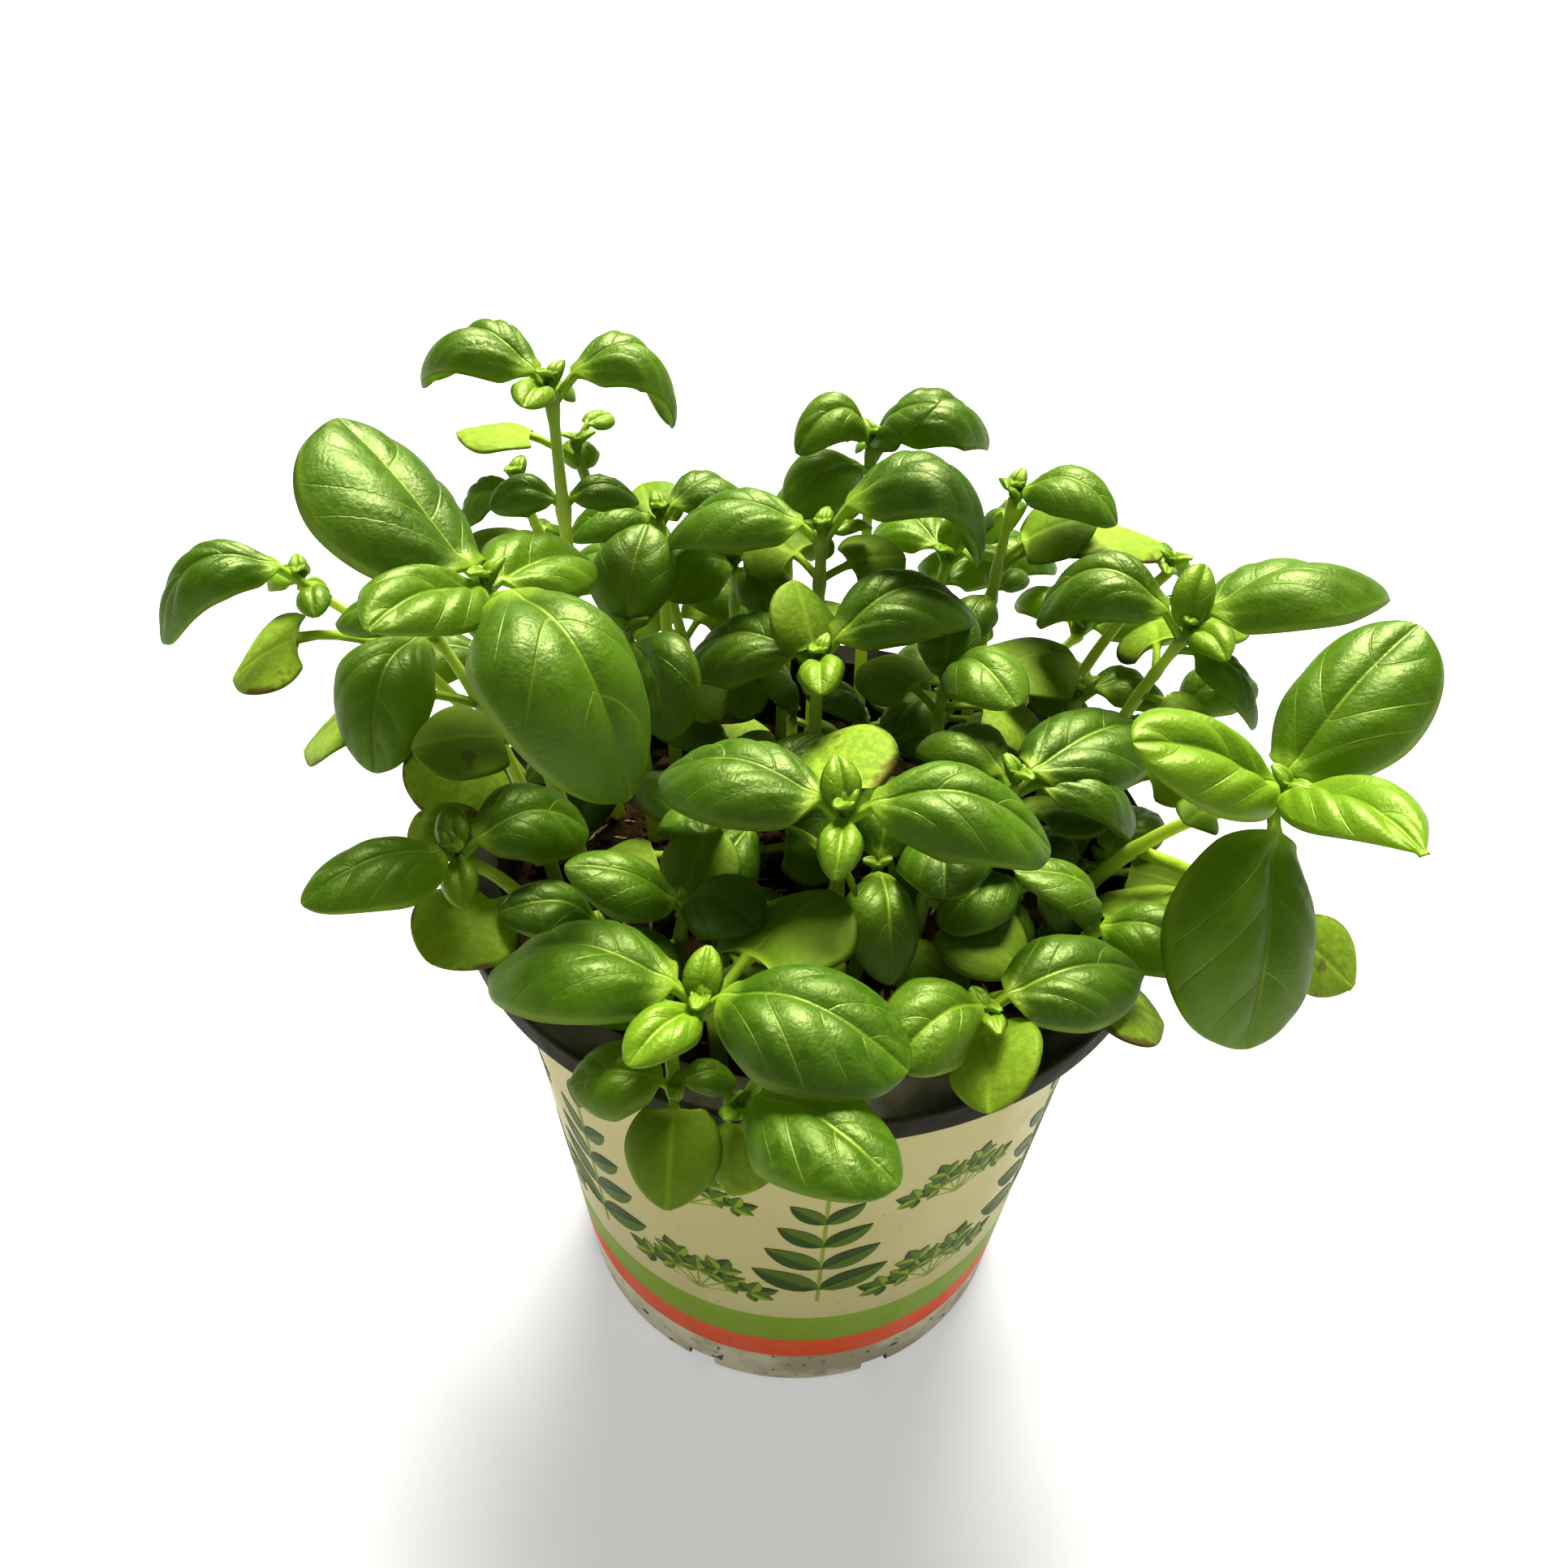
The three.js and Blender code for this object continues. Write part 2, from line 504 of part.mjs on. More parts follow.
function soil() {
  let body = turned(soilProfile(), ROUND_STEPS / 2);
  const { width, height, start, skin } = CHANNEL;
  const cover = skin + GAP;
  for (const angle of channelAngles) {
    const hump = radialBox(start - cover, BASE_RADIUS + PAST, width + 2 * cover, 0, height + cover, angle);
    body = body.subtract(hump);
  }
  for (const plant of STEMS) {
    body = body.subtract(stemTube(plant, STEM_STEPS, HOLE_STEPS, HOLE_GAP));
  }
  return body;
}

// Stems

// The stem's curved axis, from 0 at its foot in the soil to 1 at its growing tip
function stemAxis({ root, tip, lean, lift }) {
  const foot = vec(root[0], root[1], SOIL_LEVEL - ROOT_DEPTH);
  const end = vec(...tip);
  const bend = foot.clone().lerp(end, lean);
  bend.z = SOIL_LEVEL + (end.z - SOIL_LEVEL) * lift;
  return new THREE.QuadraticBezierCurve3(foot, bend, end);
}

// A tapered tube along the stem, in rings square to its axis, which lies in one upright plane.
// With `grow` it is the hole that the stem stands in, a little wider and deeper.
function stemTube(plant, steps, used, grow = 0) {
  const axis = stemAxis(plant);
  const [dx, dy] = [plant.tip[0] - plant.root[0], plant.tip[1] - plant.root[1]];
  const across = vec(-dy, dx, 0).normalize();
  const points = [];
  const triangles = [];
  for (let i = 0; i <= used; i += 1) {
    const t = i / steps;
    const centre = axis.getPoint(t);
    if (i === 0) centre.z -= grow;
    const ahead = axis.getTangent(t).cross(across);
    const radius = grow + STEM_FOOT_RADIUS + (STEM_TOP_RADIUS - STEM_FOOT_RADIUS) * t;
    for (let k = 0; k < STEM_SIDES; k += 1) {
      const angle = (k / STEM_SIDES) * 2 * Math.PI;
      const corner = centre.clone().addScaledVector(across, radius * Math.cos(angle));
      points.push(corner.addScaledVector(ahead, radius * Math.sin(angle)));
    }
  }
  for (let i = 0; i < used; i += 1) {
    for (let k = 0; k < STEM_SIDES; k += 1) {
      const next = (k + 1) % STEM_SIDES;
      const low = i * STEM_SIDES;
      const high = low + STEM_SIDES;
      triangles.push(low + k, low + next, high + next, low + k, high + next, high + k);
    }
  }
  const last = used * STEM_SIDES;
  for (let k = 1; k < STEM_SIDES - 1; k += 1) {
    triangles.push(0, k + 1, k, last, last + k, last + k + 1);
  }
  return solidOf(indexed(points, triangles));
}

// Leaves

function outline(shape, along) {
  if (along <= 0 || along >= 1) return 0;
  if (shape === "round") return Math.sqrt(1 - Math.abs(2 * along - 1) ** 2.6);
  return Math.sin(Math.PI * along ** 0.88) ** (0.6 - 0.06 * along);
}

// The middle surface of a leaf.
// `along` runs from the stem (0) to the tip (1), and `across` from margin (-1) to margin (1).
function leafSurface(one, base) {
  const azimuth = one.azimuth * DEG;
  const rise = one.rise * DEG;
  const bank = one.bank * DEG;
  const heading = vec(Math.cos(azimuth), Math.sin(azimuth), 0);
  const forward = heading.clone().multiplyScalar(Math.cos(rise)).add(vec(0, 0, Math.sin(rise)));
  const up = heading.clone().multiplyScalar(-Math.sin(rise)).add(vec(0, 0, Math.cos(rise)));
  const level = up.clone().cross(forward);
  const side = level.multiplyScalar(Math.cos(bank)).addScaledVector(up, Math.sin(bank));
  const midrib = (along) => {
    const bow = one.arch * Math.sin(Math.PI * along ** 0.9);
    return base.clone().addScaledVector(forward, one.length * along).addScaledVector(up, one.length * bow);
  };
  const step = 1e-3;
  return (along, across) => {
    const from = Math.min(along, 1 - step);
    const normal = midrib(from + step).sub(midrib(from)).cross(side).normalize();
    const blade = (along - one.stalk) / (1 - one.stalk);
    const half = Math.max((one.width * one.length * outline(one.shape, blade)) / 2, STALK_HALF_WIDTH);
    const turn = one.curl * Math.abs(across);
    const out = (Math.sign(across) * half * Math.sin(turn)) / one.curl;
    const drop = (half * (1 - Math.cos(turn))) / one.curl;
    const puff = one.puff * half * Math.sin(Math.PI * Math.abs(across));
    const point = midrib(along).addScaledVector(side, out).addScaledVector(normal, puff - drop);
    return { point, normal };
  };
}

// Where the rows of a blade lie, as shares of the blade past its stalk, and how many strips it has across
function bladeGrid({ shape, length }) {
  if (shape === "round") return { rows: [0.22, 0.75], strips: 2 };
  if (length >= 28) return { rows: [0.22, 0.55, 0.87], strips: 4 };
  if (length >= 23) return { rows: [0.22, 0.55, 0.87], strips: 2 };
  return { rows: [0.26, 0.77], strips: 2 };
}

// One row of a blade: top and bottom points from margin to margin, which share the two margins
function bladeRow(surface, along, strips, points) {
  const row = { strips, top: [], bottom: [] };
  for (let j = 0; j <= strips; j += 1) {
    const { point, normal } = surface(along, (2 * j) / strips - 1);
    const margin = j === 0 || j === strips;
    row.top.push(points.length);
    points.push(point.clone().addScaledVector(normal, margin ? 0 : BLADE / 2));
    row.bottom.push(margin ? row.top[j] : points.length);
    if (!margin) points.push(point.clone().addScaledVector(normal, -BLADE / 2));
  }
  return row;
}

// Triangles between two rows of one face. Where the next row has twice the strips, each one opens into two.
function bladeStrips(from, to) {
  const triangles = [];
  const split = (to.length - 1) / (from.length - 1);
  for (let j = 0; j + 1 < from.length; j += 1) {
    const next = split * j;
    triangles.push([from[j], to[next], to[next + 1]], [from[j], to[next + 1], from[j + 1]]);
    if (split === 2) triangles.push([from[j + 1], to[next + 1], to[next + 2]]);
  }
  return triangles;
}

// A closed blade: a top and a bottom face over the same grid, from the stem's middle to a point at the tip
function leafSolid(one, base) {
  const surface = leafSurface(one, base);
  const { rows, strips } = bladeGrid(one);
  const points = [];
  const grid = [bladeRow(surface, 0, 2, points), bladeRow(surface, one.stalk, 2, points)];
  for (const row of rows) grid.push(bladeRow(surface, one.stalk + (1 - one.stalk) * row, strips, points));
  const tip = points.length;
  points.push(surface(1, 0).point);
  const triangles = [];
  const face = (corners) => triangles.push(...corners);
  const back = ([a, b, c]) => triangles.push(a, c, b);
  for (let i = 0; i + 1 < grid.length; i += 1) {
    bladeStrips(grid[i].top, grid[i + 1].top).forEach(face);
    bladeStrips(grid[i].bottom, grid[i + 1].bottom).forEach(back);
  }
  const { top, bottom } = grid[grid.length - 1];
  for (let j = 0; j < strips; j += 1) {
    face([top[j], tip, top[j + 1]]);
    back([bottom[j], tip, bottom[j + 1]]);
  }
  const foot = grid[0];
  face([foot.top[0], foot.top[1], foot.bottom[1]]);
  face([foot.top[1], foot.top[2], foot.bottom[1]]);
  return solidOf(indexed(points, triangles));
}

// Fills any hollow that the leaves close off where they meet: its skin is a shell of negative volume
function filled(solid) {
  const shells = solid.decompose();
  shells.sort((a, b) => b.volume() - a.volume());
  return shells[0];
}

function leafyStem(plant) {
  const axis = stemAxis(plant);
  let body = stemTube(plant, STEM_STEPS, STEM_STEPS);
  for (const one of plant.leaves) {
    body = body.add(leafSolid(one, axis.getPoint(one.node)));
  }
  return filled(body);
}

// Scene graph

function piece(name, solid, colour, roughness) {
  const material = new THREE.MeshStandardMaterial({ color: colour, roughness, metalness: 0 });
  const mesh = new THREE.Mesh(geometryOf(solid), material);
  mesh.name = name;
  return mesh;
}

const pottedBasil = new THREE.Group();
pottedBasil.add(piece("pot", pot(), POT_CREAM, 0.4));
pottedBasil.add(piece("soil", soil(), SOIL_BROWN, 0.95));
for (const plant of STEMS) {
  pottedBasil.add(piece(plant.name, leafyStem(plant), LEAF_GREEN, 0.45));
}

export default pottedBasil;
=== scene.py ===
"""The looks of a potted basil plant: fine leaves and stems, crumbly soil and a printed pot.

Sizes are millimetres and degrees, in the part's own frame, until a mesh is made in metres.
In the finishes, noise is scaled per metre, and the distance of a bump is in metres.
"""

import math
from functools import partial

import bmesh
import bpy
import numpy as np
from mathutils import Matrix, Vector, noise


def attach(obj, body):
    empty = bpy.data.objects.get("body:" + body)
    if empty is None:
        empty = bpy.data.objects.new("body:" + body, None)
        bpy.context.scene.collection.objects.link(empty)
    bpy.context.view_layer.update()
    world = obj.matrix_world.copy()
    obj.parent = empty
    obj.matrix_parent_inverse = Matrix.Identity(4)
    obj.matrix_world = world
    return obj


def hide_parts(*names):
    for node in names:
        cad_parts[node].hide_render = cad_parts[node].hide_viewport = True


MM = 0.001
TURN = 2 * math.pi
SEED = 11

# Pot
RIM_RADIUS = 65
POT_HEIGHT = 115
LIP_WIDTH = 5.5
LIP_DEPTH = 5.4
LIP_THICKNESS = 1.3
LIP_DRAFT = 0.2
BASE_RADIUS = 48.5
WALL = 1.2
FLOOR = 2.2
EDGE = 0.6
MOUTH_EDGE = 0.3
ROUND_STEPS = 192
CORNER_RADIUS = 0.55
CORNER_STEPS = 4
SHARP_EDGE = 32
BODY_TOP_RADIUS = RIM_RADIUS - LIP_WIDTH - 1
LIP_BOTTOM = POT_HEIGHT - LIP_DEPTH

# Raised channels under the floor, the drain slots in them, and how far a cutting box reaches past them
CHANNELS = 8
CHANNEL = {"width": 6, "height": 3.6, "start": 14, "skin": 1.6}
SLOT = {"width": 3.4, "start": 26, "end": 38}
PAST = 1

# Heights of the bands on the printed sleeve, and half the width of the soft step between two bands
SLEEVE_BOTTOM = 12.7
ORANGE_TOP = 21
GREEN_TOP = 32
BAND_STEP = 0.1

# Printed sprigs and bushes: how far the print stands proud of the sleeve and reaches into it.
# Each of its layers lies a little higher than the last, so that crossing patches don't coincide.
PRINT_LIFT = 0.08
PRINT_LAYER = 0.01
PRINT_SINK = 0.1
MOTIFS = 7
SPRIG = {"foot": 40, "height": 44, "pairs": 4}
SPRIG_START = 0.35
BUSHES = ({"foot": 38, "size": 15}, {"foot": 72, "size": 12})
BUSH_STEMS = 7

# The leaves at the end of each stem of a bush: lean in radians, and length as a share of the bush's size
BUSH_SPRAY = ((-1.7, 0.28), (-0.85, 0.34), (0, 0.4), (0.85, 0.34), (1.7, 0.28))

# Soil
SOIL_LEVEL = 103
SOIL_CROWN = 1.1
SOIL_SHOULDER = 40
SOIL_PLAY = 0.25
SOIL_EDGE = {"low": 99.6, "high": 101.2, "inset": 1.5}
SOIL_RINGS = 84
SOIL_STEPS = 300
SOIL_MIDDLE = 60
SOIL_BOTTOM = FLOOR + CHANNEL["height"] + 2

# Crumbs and straws on the soil: how many, how far out, the least size, how much more at most, and the
# share of the crumbs that are brown
CRUMBS = 900
CRUMB_REACH = 54.5
CRUMB_SIZE = 0.5
CRUMB_MORE = 1.9
BROWN_SHARE = 0.16
STRAWS = 130
STRAW_REACH = 50
STRAW_LENGTH = 2.5
STRAW_MORE = 7

# Stems
ROOT_DEPTH = 8
STEM_FOOT_RADIUS = 1.5
STEM_TOP_RADIUS = 0.9
STEM_SIDES = 16
STEM_ROWS = 26
STEM_SQUARENESS = 0.07

# A stem's swell at each leaf, as a share of its radius, and its reach, as a share of the stem's length
NODE_SWELL = 0.18
NODE_REACH = 0.025

# Leaf blades. A stalk's radius grows with the leaf's length. Beyond the widest half width, the swells between
# the veins grow no more.
BLADE = 0.36
STALK_RADIUS = 0.5
STALK_GROWTH = 0.014
STALK_ROWS = 5
VEIN_SPACING = 0.25
VEIN_START = 0.04
WIDEST_SWELL = 7

# How irregular the leaves are: the most twist, in radians, the most that their halves differ, as a share of
# the width, and how far that leans the tip aside, as a share of the length
TWIST = 0.22
UNEVENNESS = 0.12
TIP_LEAN = 0.35

# The shortest leaf of each fineness, with its rows along the blade and its strips across
LEAF_GRIDS = ((26, 46, 28), (15, 30, 18), (9, 16, 10), (0, 10, 6))

# Tiny leaves of the growing tip, on plants below and above a height
LOW_PLANT = 130
LOW_BUD = 4.2
HIGH_BUD = 6

# Camera: the photo's frame is square, and the focal length is in its pixels
FRAME_PIXELS = 1932
FOCAL_PIXELS = 1550
SENSOR = 36
CLIP_START = 0.01
CAMERA_PLACE = (-5.178, -176.336, 271.764)
CAMERA_RIGHT = (0.99939083, 0.02219881, 0.02692931)
CAMERA_UP = (-0.0348995, 0.63569074, 0.77115453)
CAMERA_AHEAD = (0.0, 0.77162458, -0.63607822)

# Light: one wide soft lamp, high behind the plant, and an even glow from all round
LAMP_FROM = (0.07, 0.52, 0.85)
LAMP_SPREAD = 34
LAMP_STRENGTH = 12.5
LAMP_COLOUR = (1, 0.97, 0.82)
GLOW_COLOUR = (1, 0.97, 0.85, 1)
GLOW_STRENGTH = 0.18
GAMMA = 0.9
FLOOR_SIZE = 60

# Colours, linear
LEAF_DEEP = (0.0085, 0.041, 0.001)
LEAF_LIGHT = (0.07, 0.168, 0.003)
LEAF_FRESH = (0.19, 0.33, 0.012)
LEAF_GLOW = (0.45, 0.66, 0.015)
LEAF_GLOW_LIGHT = (0.66, 0.8, 0.03)
LEAF_SHEEN = (0.84, 1, 0.42, 1)
# This green is also painted on the leaf margins as painted rim light.
VEIN_AND_LIT_MARGIN_GREEN = (0.36, 0.5, 0.05)
STALK_GREEN = (0.34, 0.5, 0.04)
UNDERSIDE_GREEN = (0.13, 0.23, 0.015)
SEED_DEEP = (0.09, 0.17, 0.004)
SEED_LIGHT = (0.38, 0.54, 0.06)
SEED_GLOW = (0.54, 0.67, 0.018)
WITHERED = (0.14, 0.07, 0.025)
STEM_DEEP = (0.25, 0.4, 0.04)
STEM_LIGHT = (0.45, 0.58, 0.11)
STEM_FOOT = (0.4, 0.46, 0.16)
STEM_GLOW = (0.8, 0.9, 0.15)
SLEEVE_CREAM = (0.56, 0.51, 0.24)
SLEEVE_SHADE = (0.51, 0.46, 0.21)
BAND_GREEN = (0.22, 0.35, 0.003)
BAND_ORANGE = (0.78, 0.09, 0.002)
BARE_PLASTIC = (0.7, 0.65, 0.46)
BARE_DIRTY = (0.42, 0.37, 0.24)
RIM_DARK = (0.013, 0.013, 0.004)
RIM_LIGHT = (0.03, 0.028, 0.011)
SOIL_STAIN = (0.03, 0.022, 0.015)
SOIL_DARK = (0.012, 0.0065, 0.003)
SOIL_LIGHT = (0.07, 0.036, 0.015)
SOIL_FLECK = (0.13, 0.075, 0.03)
SOIL_BARK = (0.14, 0.075, 0.035)
STRAW_DARK = (0.25, 0.15, 0.05)
STRAW_LIGHT = (0.58, 0.4, 0.17)
FLOOR_SHADE = (0.32, 0.33, 0.38)
FLOOR_PALE = (0.34, 0.35, 0.4)
FLOOR_GLOW = (1, 1, 0.98, 1)

# Inks of the print, and the two that each kind of printed leaf has on its halves
INKS = {
    "dark": (0.03, 0.07, 0.003),
    "mid": (0.085, 0.15, 0.004),
    "fresh": (0.24, 0.34, 0.012),
    "stem": (0.26, 0.34, 0.03),
}
DARK_HALVES = (0, 1)
FRESH_HALVES = (1, 2)
INK_STEM = 3

# Material slots of a leafy stem
LEAF_SLOT, SEED_SLOT, STEM_SLOT = range(3)

# Leaf kinds. Stalk, width, arch and lobe, which is how far the blade's foot reaches back, are shares of the
# length. Curl, the turn from midrib to margin, and hook, the extra droop of the tip, are in radians.
# Puff, the rise beside the midrib, groove, the fold along it, quilt, the swell between the side veins, and
# sway, the wave of the margins, are shares of the half width. Taper slims the tip. Gap spreads the veins.
# Bank rolls the blade about its length. Fresh is how young the green is, from 0 to 1, or None where it is
# drawn by the leaf's length. The tone and shade, which some leaves have, is how light the leaf is painted:
# painted shade on leaves that stand in shade, and painted light on leaves that the lamp leaves dark.
PLAIN = dict(bank=0, gap=1, lobe=0.07, sway=0.05, fresh=None)
OVAL = dict(PLAIN, shape="oval", slot=LEAF_SLOT, hook=0.3)
TRUE_LEAF = dict(
    OVAL, stalk=0.12, width=0.78, arch=0.24, taper=0.1, curl=1, puff=0.06, groove=0.07, quilt=0.07
)
FRESH_LEAF = dict(OVAL, width=0.66, groove=0.2, gap=1.3, fresh=1)
YOUNG_LEAF = dict(FRESH_LEAF, stalk=0.1, arch=0.18, taper=0.15, curl=0.6, puff=0.1, quilt=0.12)
BUD_LEAF = dict(FRESH_LEAF, stalk=0.08, arch=0.3, taper=0.1, curl=0.7, puff=0.16, quilt=0.03)
ROUND = dict(PLAIN, shape="round", slot=SEED_SLOT, hook=0.2, lobe=0.13, sway=0.09, taper=0, puff=0)
SEED_LEAF = dict(ROUND, stalk=0.34, width=0.84, arch=0.1, curl=0.35, groove=0.02, quilt=0.012)


def grown(kind):
    """Makes leaves of one kind. `node` is the place on the stem, 0 at the root and 1 at the growing tip."""

    def one(node, azimuth, rise, length, **more):
        return {**kind, "node": node, "azimuth": azimuth, "rise": rise, "length": length, **more}

    return one


leaf = grown(TRUE_LEAF)
seed = grown(SEED_LEAF)
young = partial(grown(YOUNG_LEAF), 1)
bud = partial(grown(BUD_LEAF), 1)


def stem(name, root, tip, leaves, lean=0.72, lift=0.62):
    return {"name": "basil_" + name, "root": root, "tip": tip, "leaves": leaves, "lean": lean, "lift": lift}
